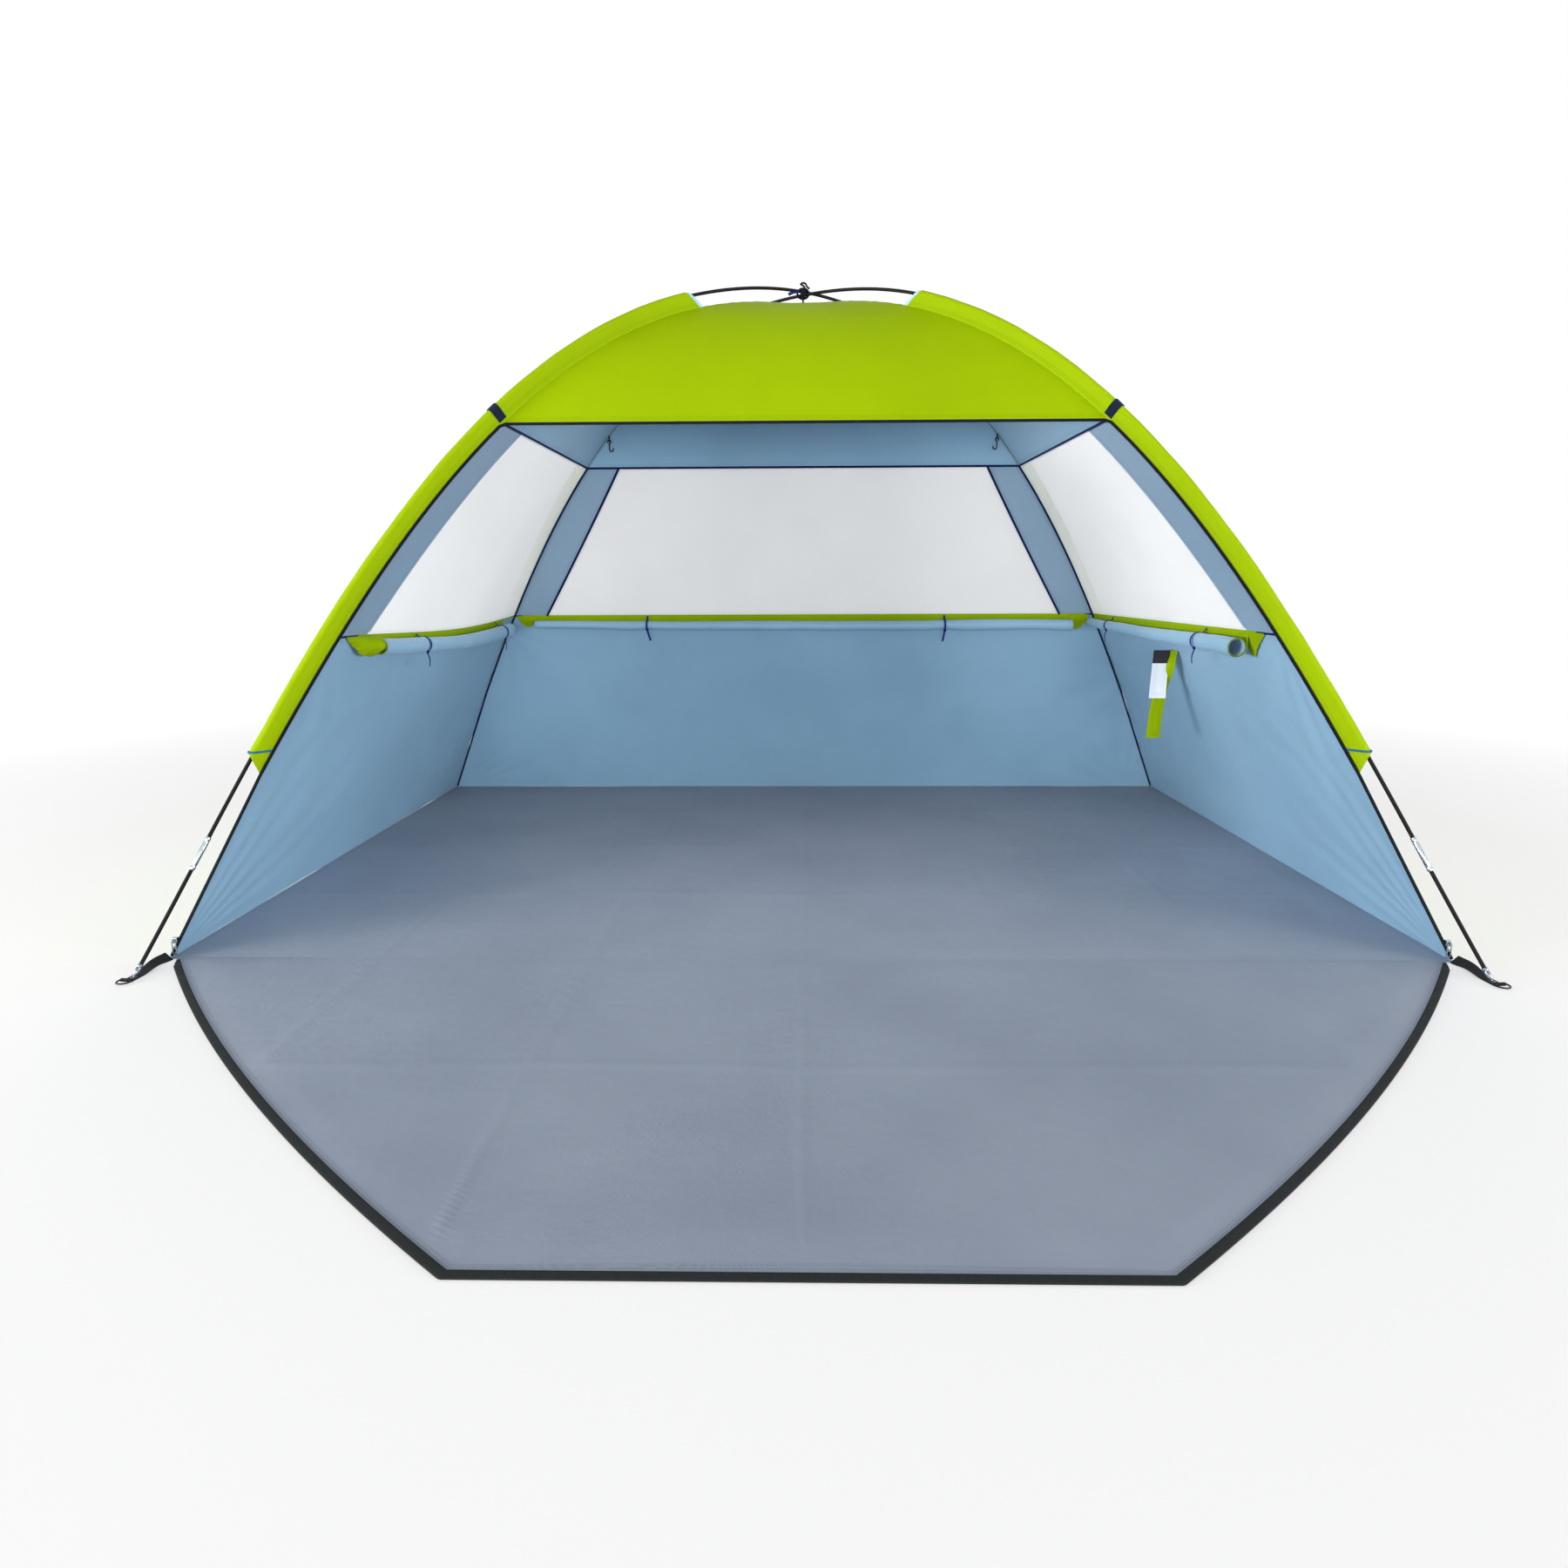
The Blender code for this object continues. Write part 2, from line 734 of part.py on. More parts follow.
def porch_edge(offset_at, first_share, steps):
    """Edge of the porch from its right hinge end round to its left one, moved outwards."""
    right = []
    for i in range(steps + 1):
        share = blend(first_share, 1, i / steps)
        reach = 0.5 / steps
        low, high = max(0, share - reach), min(1, share + reach)
        ahead, behind = porch_side(high), porch_side(low)
        run, rise = ahead[0] - behind[0], ahead[1] - behind[1]
        size = math.hypot(run, rise)
        x, forwards = porch_side(share)
        travelled = math.hypot(x - porch_side(0)[0], forwards)
        offset = offset_at(travelled)
        right.append((x + offset * rise / size, forwards - offset * run / size))
        turn = math.degrees(math.atan2(-run, rise))
    offset = offset_at(PORCH_REACH)
    corner = rounded_corner(porch_side(1), offset, turn, 90, 4)[1:]
    right += corner
    left = [(-x, forwards) for x, forwards in reversed(right)]
    hinge_y = -HALF_DEPTH - SEAM_GAP
    return [(x, hinge_y - forwards) for x, forwards in right + left]


def band_width(travelled):
    share = (travelled - BAND_START) / (BAND_FULL_AT - BAND_START)
    return blend(BAND_START_WIDTH, BAND_WIDTH, min(1, max(0, share)))


def build_porch():
    pivot = make_pivot("porch_hinge", (0, -HALF_DEPTH, GROUND_CLOTH))
    panel = flat_plate(
        "porch_panel", [porch_edge(lambda travelled: MERGE_DISTANCE, 0, 14)],
        GROUND_CLOTH, "floor_cloth")
    panel.location.z = GROUND_CLOTH / 2
    side_length = math.hypot(porch_side(1)[0] - porch_side(0)[0], PORCH_REACH)
    first = BAND_START / side_length
    inner = porch_edge(lambda travelled: TOUCH_GAP, first, 20)
    outer = porch_edge(band_width, first, 20)
    band = flat_plate(
        "porch_band", [outer + inner[::-1]], BAND_THICKNESS, "black_webbing")
    band.location.z = BAND_THICKNESS / 2
    for made in (panel, band):
        parent_to(made, pivot)


# Poles, in three rods each, with steel ferrules over the joints

def foot_splay(outwards, length):
    """How far a pole stands out of its ridge's plane, at a length from the nearest foot."""
    side = math.copysign(1, outwards.x)
    end = math.copysign(1, outwards.y)
    share = max(0, 1 - length / SPLAY_REACH) ** SPLAY_POWER
    return Vector((-side * SPLAY_INWARDS, end * SPLAY_FORWARDS, 0)) * share


def pole_place(direction, lift, length):
    """Centre of a pole at a length from its front foot."""
    beyond = length > HALF_ARCH
    from_foot = 2 * HALF_ARCH - length if beyond else length
    outwards = -direction if beyond else direction
    radius, height = arch_at(from_foot)
    share = min(1, radius / SLEEVE_MOUTH_RADIUS)
    height += lift * (1 + math.cos(math.pi * share)) / 2
    point = outwards * radius + foot_splay(outwards, from_foot)
    return Vector((point.x, point.y, height))


def foot_rod(name, direction, lift, from_front):
    """Lower rod of a pole: pin, crimped tip and rod, up to the middle of the ferrule."""
    stops = [(0, PIN_RADIUS), (PIN_LENGTH, PIN_RADIUS)]
    stops += [(PIN_LENGTH + STEP_LENGTH, TIP_RADIUS), (TIP_LENGTH, TIP_RADIUS)]
    stops += [(TIP_LENGTH + STEP_LENGTH, POLE_RADIUS)]
    end = FERRULE_PLACE - TOUCH_GAP / 2
    stops += [(length, POLE_RADIUS) for length in np.linspace(TIP_LENGTH, end, 6)[1:]]
    whole = 2 * HALF_ARCH
    lengths = [length if from_front else whole - length for length, _ in stops]
    points = [pole_place(direction, lift, length) for length in lengths]
    return tube_curve(name, points, POLE_RADIUS, "black_pole", radii=[r for _, r in stops])


def main_rod(name, direction, lift):
    start = FERRULE_PLACE + TOUCH_GAP / 2
    whole = 2 * HALF_ARCH
    first = list(np.linspace(start, SLEEVE_START, 5))[:-1]
    lengths = first + list(np.linspace(SLEEVE_START, whole - SLEEVE_START, 43))
    lengths += [whole - length for length in reversed(first)]
    points = [pole_place(direction, lift, length) for length in lengths]
    return tube_curve(name, points, POLE_RADIUS, "black_pole")


def ferrule(name, direction, lift, from_front):
    inner = POLE_RADIUS + FERRULE_CLEARANCE
    outer = inner + FERRULE_WALL
    reach = FERRULE_LENGTH / 2
    profile = [(outer, reach), (outer, -reach), (inner, -reach), (inner, reach)]
    made = turned(name, profile, 16, "steel")
    middle = FERRULE_PLACE if from_front else 2 * HALF_ARCH - FERRULE_PLACE
    low = pole_place(direction, lift, middle - reach)
    high = pole_place(direction, lift, middle + reach)
    made.rotation_mode = "QUATERNION"
    made.rotation_quaternion = (high - low).to_track_quat("Z", "Y")
    made.location = pole_place(direction, lift, middle).lerp((low + high) / 2, 0.5)
    return made


def build_poles():
    for pole, side, lift in (("pole_a", -1, STACK_LIFT), ("pole_b", 1, -STACK_LIFT)):
        direction, _ = corner_axes(side, -1)
        main_rod(pole + "_main_rod", direction, lift)
        for place, from_front in (("front", True), ("rear", False)):
            foot_rod(pole + "_" + place + "_rod", direction, lift, from_front)
            ferrule(pole + "_" + place + "_ferrule", direction, lift, from_front)


# Corner anchors: webbing with an eyelet, and a ring for a peg

def anchor_axes(side, end):
    """Floor corner, then unit vectors from it out to the pole's foot and across that line."""
    outwards, _ = corner_axes(side, end)
    corner = Vector((side * HALF_WIDTH, end * HALF_DEPTH, 0))
    away = outwards * FOOT_RADIUS + foot_splay(outwards, 0) - corner
    reach = away.length
    away /= reach
    return corner, away, Vector((-away.y, away.x, 0)), reach


def web_profile(reach):
    """Underside of the webbing, as way out and height: flat at the foot, then curled."""
    flat_from = reach - 2 * WEB_HOLE
    points = []
    for i in range(7):
        share = i / 6
        lift = WEB_LIFT * math.sin(math.pi * share) ** 2
        points.append((blend(TOUCH_GAP, flat_from, share), lift))
    points.append((reach + 2 * WEB_HOLE, 0))
    curl = (reach + WEB_OVERHANG, CURL_RADIUS)
    points += rounded_corner(curl, CURL_RADIUS, -90, 165, 9)
    return points


def ring_outline():
    """D ring: a straight bar through the curl, then arms and a half round."""
    half = WEB_WIDTH / 2 + RING_WIRE + RING_CLEARANCE
    arms = RING_REACH - half
    points = [(0, half * share) for share in (-1, -0.5, 0, 0.5, 1)]
    for i in range(13):
        angle = math.radians(90 - 15 * i)
        points.append((arms + half * math.cos(angle), half * math.sin(angle)))
    return points


def build_anchors():
    for corner, (side, rear) in CORNERS.items():
        start, away, across, reach = anchor_axes(side, rear)
        profile = web_profile(reach)

        def place(u, v, start=start, away=away, across=across, profile=profile):
            spot = v * (len(profile) - 1)
            low = min(int(spot), len(profile) - 2)
            share = spot - low
            out = blend(profile[low][0], profile[low + 1][0], share)
            point = start + away * out + across * blend(-WEB_WIDTH / 2, WEB_WIDTH / 2, u)
            point.z = blend(profile[low][1], profile[low + 1][1], share)
            return point

        web = cloth_panel(
            corner + "_web", place, 2, len(profile) - 1, WEB_THICKNESS,
            "black_webbing", Vector((0, 0, 1)), probe=(0.5, 0.3))
        hole = make_cutter(corner + "_eyelet_cutter", WEB_HOLE, 6 * WEB_THICKNESS)
        hole.location = start + away * reach
        combine(web, hole, "DIFFERENCE")
        curl = start + away * (reach + WEB_OVERHANG) + Vector((0, 0, CURL_RADIUS))
        ring = [curl + away * out + across * sideways for out, sideways in ring_outline()]
        pivot = make_pivot(corner + "_ring_pivot", ring[2])
        made = tube_curve(corner + "_ring", ring, RING_WIRE, "black_plastic", cyclic=True)
        parent_to(made, pivot)


# Zip sliders with their pulls, at the foot of the opening's edges

def slider_place(side):
    """Centre of a slider: just before the foot of the wall's front edge."""
    x = side * (half_width(SLIDER_HEIGHT) + SLIDER_OUTSET)
    wall_edge = half_depth(SLIDER_HEIGHT - SLIDER_SIZE[2] / 2) - SEAM_GAP
    y = -wall_edge - SLIDER_SIZE[1] / 2 - TOUCH_GAP
    return Vector((x, y, SLIDER_HEIGHT))


def pull_axis(side):
    """Middle of the pull's top rim, inside the bail's eye: the line that it turns on."""
    swing = math.hypot(PULL_RIM, PULL_THICKNESS) / 2
    forwards = SLIDER_SIZE[1] / 2 + TOUCH_GAP + BAIL_HOLE / 2
    sag = BAIL_HOLE / 2 - swing - TOUCH_GAP
    return slider_place(side) - Vector((0, forwards, sag))


def build_sliders():
    """Each slider is a block with a flat bail, an eye that stands out of its front."""
    for name, side in (("left", -1), ("right", 1)):
        centre = slider_place(side)
        body = box_object(name + "_zip_slider", SLIDER_SIZE, "steel")
        body.location = centre
        edge = body.modifiers.new("edges", "BEVEL")
        edge.width = SLIDER_EDGE
        edge.segments = 2
        root = SLIDER_SIZE[1] / 4
        hole_start = root + TOUCH_GAP
        hole_end = hole_start + BAIL_HOLE
        rim = BAIL_HOLE / 2
        half = rim + 2 * BAIL_WIRE
        reach = hole_end + 2 * BAIL_WIRE
        outer = [(0, -half), (reach, -half), (reach, half), (0, half)]
        inner = [(hole_start, -rim), (hole_start, rim), (hole_end, rim), (hole_end, -rim)]
        bail = flat_plate(name + "_bail_tool", [outer, inner], 2 * BAIL_WIRE, None, CUTTERS)
        bail.rotation_euler = (math.pi / 2, 0, -math.pi / 2)
        bail.location = centre - Vector((0, root, 0))
        bail.hide_render = True
        bail = curve_to_mesh(bail)
        bail.display_type = "WIRE"
        combine(body, bail, "UNION")
        build_pull(name, side)


def build_pull(name, side):
    """Ladder pull: a plate with two slots, its top rim held in the bail's eye."""
    width, length = PULL_WIDTH, PULL_LENGTH
    slot_width = width - 2 * PULL_RIM
    slot_length = (length - 3 * PULL_RIM) / 2
    corner = width / 4
    reach = (width / 2 - corner, length / 2 - corner)
    outline = []
    for x, y, start in ((1, 1, 0), (-1, 1, 90), (-1, -1, 180), (1, -1, 270)):
        outline += rounded_corner((x * reach[0], y * reach[1]), corner, start, start + 90, 3)
    offset = (slot_length + PULL_RIM) / 2
    slots = []
    for centre in (offset, -offset):
        across = slot_outline((0, 0), slot_length, slot_width)
        slots.append([(y, x + centre) for x, y in across])
    pull = flat_plate(name + "_zip_pull", [outline] + slots, PULL_THICKNESS, "steel")
    axis = pull_axis(side)
    pivot = make_pivot(name + "_pull_pivot", axis)
    pull.rotation_euler = (math.pi / 2, 0, 0)
    pull.location = axis - Vector((0, 0, (length - PULL_RIM) / 2))
    parent_to(pull, pivot)


# Window covers rolled up under the sills, with their ties

def cover_section(radius, show):
    """Back face of a rolled cover, as (inwards, down) from the sill: strip, then spiral."""
    gap = SEAM_GAP
    centre = (gap + radius, show + radius)
    points = [(gap, 0), (gap, show / 2), (gap, show)]
    steps = int(COVER_TURNS * ROLL_STEPS)
    for i in range(steps + 1):
        turned_by = i / ROLL_STEPS
        size = radius - COVER_PITCH * turned_by
        angle = math.pi + math.tau * turned_by
        points.append((centre[0] + size * math.cos(angle), centre[1] - size * math.sin(angle)))
    return points


def polyline_at(points, share):
    spot = share * (len(points) - 1)
    low = max(0, min(int(spot), len(points) - 2))
    part = spot - low
    first, second = points[low], points[low + 1]
    return blend(first[0], second[0], part), blend(first[1], second[1], part)


def tie_route(radius, show):
    """Cord from the sill over the roll's front and under it, then down: (inwards, down)."""
    wrap = radius + TIE_RADIUS + TOUCH_GAP
    centre = (SEAM_GAP + radius, show + radius)
    start = (SEAM_GAP + COVER_CLOTH + TIE_RADIUS + TOUCH_GAP, TIE_RADIUS)
    points = [start, (start[0], show / 3)]
    for i in range(9):
        angle = math.radians(blend(110, -80, i / 8))
        points.append((centre[0] + wrap * math.cos(angle), centre[1] - wrap * math.sin(angle)))
    low = points[-1]
    for i in range(1, 5):
        share = i / 4
        sway = TIE_TAIL * 0.08 * math.sin(math.pi * share)
        points.append((low[0] + sway, low[1] + TIE_TAIL * share))
    return points


def build_cover(name, radii, shows, line, inwards, tie_shares):
    """One cover: radii, shows and line hold its values at both ends, inwards leads inside."""
    top = SILL_HEIGHT - SEAM_GAP
    along = (line[1] - line[0]).normalized()

    def base(share):
        return line[0].lerp(line[1], share)

    def place(u, v):
        section = cover_section(blend(*radii, v), blend(*shows, v))
        inward, down = polyline_at(section, u)
        point = base(v) + inwards * inward
        point.z = top - down
        return point

    steps = len(cover_section(radii[0], shows[0])) - 1
    cover = cloth_panel(
        name + "_cover", place, steps, 4, COVER_CLOTH, "wall_cloth", inwards,
        probe=(0.5 / steps, 0.5))
    pivot_at = base(0.5)
    pivot = make_pivot(name + "_cover_pivot", Vector((pivot_at.x, pivot_at.y, top)))
    parent_to(cover, pivot)
    for i, share in enumerate(tie_shares):
        points = []
        route = tie_route(blend(*radii, share), blend(*shows, share))
        for j, (inward, down) in enumerate(route):
            point = base(share) + inwards * inward
            point += along * (TIE_TAIL * 0.3 * max(0, j - 10) / 4)
            point.z = top - down
            points.append(point)
        tie = tube_curve(f"{name}_cover_tie_{i + 1}", points, TIE_RADIUS, "navy_trim")
        parent_to(tie, pivot)


def build_covers():
    sill_x = half_width(SILL_HEIGHT)
    sill_y = half_depth(SILL_HEIGHT)
    reach = sill_x - REAR_ROLL_INSET
    build_cover(
        "rear", (REAR_ROLL_LEFT_RADIUS, REAR_ROLL_RIGHT_RADIUS),
        (REAR_COVER_SHOW, REAR_COVER_SHOW),
        (Vector((-reach, sill_y, 0)), Vector((reach, sill_y, 0))),
        Vector((0, -1, 0)), (0.21, 0.765))
    build_cover(
        "left", (LEFT_ROLL_FRONT_RADIUS, LEFT_ROLL_REAR_RADIUS),
        (LEFT_COVER_FRONT_SHOW, LEFT_COVER_REAR_SHOW),
        (Vector((-sill_x, LEFT_ROLL_FRONT_INSET - sill_y, 0)),
         Vector((-sill_x, sill_y - LEFT_ROLL_REAR_INSET, 0))),
        Vector((1, 0, 0)), (0.317, 0.928))
    build_cover(
        "right", (RIGHT_ROLL_FRONT_RADIUS, RIGHT_ROLL_REAR_RADIUS),
        (RIGHT_COVER_SHOW, RIGHT_COVER_SHOW),
        (Vector((sill_x, RIGHT_ROLL_FRONT_INSET - sill_y, 0)),
         Vector((sill_x, sill_y - RIGHT_ROLL_REAR_INSET, 0))),
        Vector((-1, 0, 0)), (0.223, 0.823))


# Care label and cover strap, hung plumb from the right wall

def hanging_piece(name, edge, place_y, size, slant, bow, material):
    """A flat strip from its outer top corner, which leans inwards and bows forwards."""
    top = SILL_HEIGHT - HANG_DROP
    width, length = size

    def place(u, v):
        x = edge - width * (1 - u) - slant * v
        return Vector((x, place_y - bow * v * v, top - length * v))

    made = cloth_panel(name, place, 2, 6, HANG_CLOTH, material, Vector((0, -1, 0)))
    pivot = make_pivot(name + "_pivot", Vector((edge - width / 2, place_y, top)))
    parent_to(made, pivot)


def build_hangings():
    wall = half_width(SILL_HEIGHT - HANG_DROP + HANG_CLOTH) - TOUCH_GAP
    hanging_piece("cover_strap", wall, STRAP_PLACE, (STRAP_WIDTH, STRAP_LENGTH),
                  STRAP_SLANT, 0, "canopy_green")
    hanging_piece("care_label", wall - LABEL_INSET, STRAP_PLACE - HANG_CLOTH - TOUCH_GAP,
                  (LABEL_WIDTH, LABEL_LENGTH), 0, LABEL_WIDTH / 8, "label_white")


# Hooks under the rear ridges, each on a sewn loop

def build_hooks():
    for name, side in (("left", -1), ("right", 1)):
        half = LOOP_WIDTH / 2
        x = half_width(HOOK_HEIGHT)
        y = half_depth(HOOK_HEIGHT) - half - 3 * LOOP_WIRE
        top = roof_under(half_width, x + LOOP_WIRE) - 1.5 * TOUCH_GAP
        low = top - LOOP_DROP
        ends = [Vector((side * x, y + half * way, top)) for way in (-1, 1)]
        turn = [Vector((side * x, y + out, low + half + up)) for out, up in
                rounded_corner((0, 0), half, 180, 360, 8)]
        loop = [ends[0]] + turn + [ends[1]]
        tube_curve(name + "_hook_loop", loop, LOOP_WIRE, "black_webbing")
        bar = Vector((side * x, y, low))
        eye_drop = HOOK_EYE - HOOK_WIRE - LOOP_WIRE - TOUCH_GAP
        eye = bar - Vector((0, 0, eye_drop))
        points = []
        for x, z in rounded_corner((0, 0), HOOK_EYE, 225, -90, 12):
            points.append(eye + Vector((-side * x, 0, z)))
        start = points[-1]
        points.append(start - Vector((0, 0, HOOK_SHANK / 2)))
        bend = start - Vector((side * HOOK_BEND, 0, HOOK_SHANK))
        for x, z in rounded_corner((0, 0), HOOK_BEND, 0, -180, 8):
            points.append(bend + Vector((side * x, 0, z)))
        points.append(points[-1] + Vector((0, 0, HOOK_LIP)))
        pivot = make_pivot(name + "_hook_pivot", bar)
        hook = tube_curve(name + "_hook", points, HOOK_WIRE, "black_plastic")
        parent_to(hook, pivot)


# Cord round the crossing, tied in a bow

def hub_cord_route():
    """Route round both poles, in cord and pole sizes, from the apex to the bow's tail."""
    beside = POLE_RADIUS + HUB_CORD_RADIUS
    high = STACK_LIFT + POLE_RADIUS + HUB_CORD_RADIUS + 2 * TOUCH_GAP
    lay = 2 * HUB_CORD_RADIUS + 2 * TOUCH_GAP
    wide = 1.62 * beside
    start = roof_under(half_depth, wide) + CLOTH + 2 * TOUCH_GAP - HUB_HEIGHT
    return [
        (0, -wide, start), (0, -wide, -1.6 * high), (0, -wide, -0.2 * high),
        (0, -wide, 0.75 * high), (0, -0.5 * wide, 1.12 * high), (0, 0, 1.16 * high),
        (0, 0.5 * wide, 1.12 * high), (0, wide, 0.75 * high), (0, wide, -0.2 * high),
        (0.1 * lay, wide, -0.85 * high), (0.4 * lay, 0.5 * wide, -1.12 * high),
        (0.7 * lay, 0, -1.16 * high), (lay, -0.5 * wide, -1.16 * high),
        (1.3 * lay, -1.1 * wide, -0.9 * high), (1.4 * lay, -1.25 * wide, 0),
        (1.3 * lay, -1.2 * wide, 0.9 * high), (0.6 * lay, -0.9 * wide, 1.5 * high),
        (-0.8 * lay, -0.5 * wide, 1.9 * high), (-1.6 * lay, 0, 2.2 * high),
        (-0.9 * lay, 0.3 * wide, 2.5 * high), (0.8 * lay, 0.4 * wide, 2.6 * high),
        (1.9 * lay, 0.4 * wide, 2.3 * high), (2.4 * lay, 0.3 * wide, 1.9 * high),
        (3.2 * lay, 0.2 * wide, 1.5 * high), (4.4 * lay, 0.1 * wide, 1.2 * high),
    ]


def smooth_route(points, steps):
    """Points of a smooth curve through the route's own points."""
    made = []
    last = len(points) - 1
    for i in range(last):
        around = [Vector(points[max(0, min(last, i + k))]) for k in (-1, 0, 1, 2)]
        for j in range(steps):
            t = j / steps
            a, b, c, d = around
            made.append(0.5 * (2 * b + (c - a) * t + (2 * a - 5 * b + 4 * c - d) * t * t
                               + (3 * b - a - 3 * c + d) * t ** 3))
    made.append(Vector(points[-1]))
    return made


def build_hub_cord():
    hub = Vector((0, 0, HUB_HEIGHT))
    points = [hub + point for point in smooth_route(hub_cord_route(), 2)]
    tube_curve("hub_cord", points, HUB_CORD_RADIUS, "black_webbing")


def build_tent():
    global PARTS, CUTTERS
    clear_scene()
    PARTS = make_collection("beach_tent")
    CUTTERS = make_collection("cutters")
    make_materials()
    build_floor()
    build_walls()
    build_window_band()
    build_roof()
    build_sleeves()
    build_piping()
    build_porch()
    build_poles()
    build_anchors()
    build_sliders()
    build_covers()
    build_hangings()
    build_hooks()
    build_hub_cord()


build_tent()
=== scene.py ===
"""Beach tent with two crossed poles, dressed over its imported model. Metres, +Z up, open front towards -Y."""
import math

import bpy
import numpy as np
from mathutils import Matrix, Vector


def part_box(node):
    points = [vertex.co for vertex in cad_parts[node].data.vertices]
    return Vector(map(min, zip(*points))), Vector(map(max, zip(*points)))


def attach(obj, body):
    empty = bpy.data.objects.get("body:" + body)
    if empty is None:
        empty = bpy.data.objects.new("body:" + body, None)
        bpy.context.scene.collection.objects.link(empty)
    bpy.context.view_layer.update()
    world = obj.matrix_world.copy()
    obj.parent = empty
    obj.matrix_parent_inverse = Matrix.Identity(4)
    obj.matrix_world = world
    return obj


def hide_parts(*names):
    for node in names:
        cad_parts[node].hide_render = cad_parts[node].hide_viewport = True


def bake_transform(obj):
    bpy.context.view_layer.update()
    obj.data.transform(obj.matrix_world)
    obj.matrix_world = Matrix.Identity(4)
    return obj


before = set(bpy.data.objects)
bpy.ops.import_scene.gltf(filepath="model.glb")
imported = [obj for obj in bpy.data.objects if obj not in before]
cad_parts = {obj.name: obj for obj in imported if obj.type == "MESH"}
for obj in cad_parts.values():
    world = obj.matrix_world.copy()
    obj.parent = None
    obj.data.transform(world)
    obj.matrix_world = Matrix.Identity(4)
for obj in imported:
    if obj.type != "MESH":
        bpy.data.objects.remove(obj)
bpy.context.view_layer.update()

# Sizes repeated from the part's source

FLOOR_WIDTH = 2.400
FLOOR_DEPTH = 1.500
HUB_HEIGHT = 1.353
SILL = 0.590
HEAD = 1.010
SEAM_GAP = 0.0005
TOUCH_GAP = 0.0003
POLE_RADIUS = 0.0035
FOOT_REACH = 0.048
FOOT_LEAN = math.radians(57.8)
FOOT_HANDLE = 0.637
HUB_HANDLE = 0.741
PIN_RADIUS = 0.0020
TIP_LENGTH = 0.024
FERRULE_PLACE = 0.235
SLEEVE_DEPTH = 0.027
SLEEVE_BORE = 0.0070
SLEEVE_START = 0.437
SLEEVE_SLANT = 0.030
SLEEVE_WRAP = math.radians(118)
MOUTH_RADIUS = 0.305
SPLAY_FORWARDS = 0.058
SPLAY_INWARDS = 0.032
SPLAY_REACH = 0.400
TAB_START = 1.255
TAB_WIDTH = 0.020
WEB_WIDTH = 0.020
WEB_THICKNESS = 0.0012
CURL_RADIUS = 0.0032
RING_WIRE = 0.0015
RING_REACH = 0.017
HALF_WIDTH = FLOOR_WIDTH / 2
HALF_DEPTH = FLOOR_DEPTH / 2
CORNER_RADIUS = math.hypot(HALF_WIDTH, HALF_DEPTH)
FOOT_RADIUS = CORNER_RADIUS + FOOT_REACH
FOOT_HEIGHT = TOUCH_GAP + PIN_RADIUS * math.cos(FOOT_LEAN)
STACK_LIFT = POLE_RADIUS + TOUCH_GAP / 2
CORNERS = {"front_left": (-1, -1), "front_right": (1, -1), "rear_left": (-1, 1), "rear_right": (1, 1)}
# Place along the pole and radius, for the crimped tip and for half of a ferrule, from its end to its middle
TIP_STOPS = ((0.0, 0.0016), (0.0006, 0.0020), (0.0034, 0.0020), (0.0037, 0.0039), (0.0044, 0.0045),
             (0.0170, 0.0045), (0.0178, 0.0041), (0.0192, 0.0041), (0.0200, 0.0045), (0.0232, 0.0045),
             (0.0240, 0.0039))
FERRULE_STOPS = ((0.0325, 0.0043), (0.0317, 0.0049), (0.0265, 0.0049), (0.0255, 0.0046), (0.0230, 0.0046),
                 (0.0220, 0.0049))

# Sizes that are the scene's own. The porch and its band follow the photo more closely than the solids do

PORCH_REACH = 0.799
PORCH_SIDE_CLEARANCE = 0.018
PORCH_END_WIDTH = 0.748
PORCH_BULGE = 0.036
BAND_OVERLAP = 0.0015
BAND_REACH = 0.0115
BAND_START_REACH = 0.004
BAND_WIDENS_OVER = 0.030
BAND_FIRST = 0.005
CLOTH = 0.0007
NET_THICKNESS = 0.0004
CLOTH_PLACE = 0.0007
LEFT_SAG = 0.018
COVER_TURNS = 2.25
COVER_PITCH = 0.0022
EYE_RADIUS = 0.0042
HOOK_RADIUS = 0.0052
ARCH_STEPS = 600
TAPE_POWER = 0.6
STITCH_ROWS = (0.0070, 0.0120)
STITCH_HALF_WIDTH = 0.00055
STITCH_PITCH = 0.0036
SHADED_GLOW = 0.42


def line(x, y, z):
    """Points from coordinates that are numbers or arrays."""
    return np.stack(np.broadcast_arrays(x, y, z), axis=-1)


def spread(reach, count):
    return np.linspace(-reach, reach, count)


def between(pair, share):
    return pair[0] + (pair[1] - pair[0]) * share


def ease(t):
    return t * t * (3 - 2 * t)


def path_lengths(path):
    """Length along a path at each of its points."""
    return np.append(0, np.cumsum(np.linalg.norm(np.diff(path, axis=0), axis=1)))


def bezier(handles, share):
    share = np.asarray(share)[..., None]
    points = [np.asarray(handle) for handle in handles]
    while len(points) > 1:
        points = [between(pair, share) for pair in zip(points, points[1:])]
    return points[0]


# The poles' line: half an arch as radius and height, from foot to crossing

ARCH = bezier(((FOOT_RADIUS, FOOT_HEIGHT),
               (FOOT_RADIUS - FOOT_HANDLE * math.cos(FOOT_LEAN),
                FOOT_HEIGHT + FOOT_HANDLE * math.sin(FOOT_LEAN)),
               (HUB_HANDLE, HUB_HEIGHT), (0, HUB_HEIGHT)), np.linspace(0, 1, ARCH_STEPS + 1))
ARCH_LENGTHS = path_lengths(ARCH)
HALF_ARCH = float(ARCH_LENGTHS[-1])
MOUTH_LENGTH = float(np.interp(-MOUTH_RADIUS, -ARCH[:, 0], ARCH_LENGTHS))


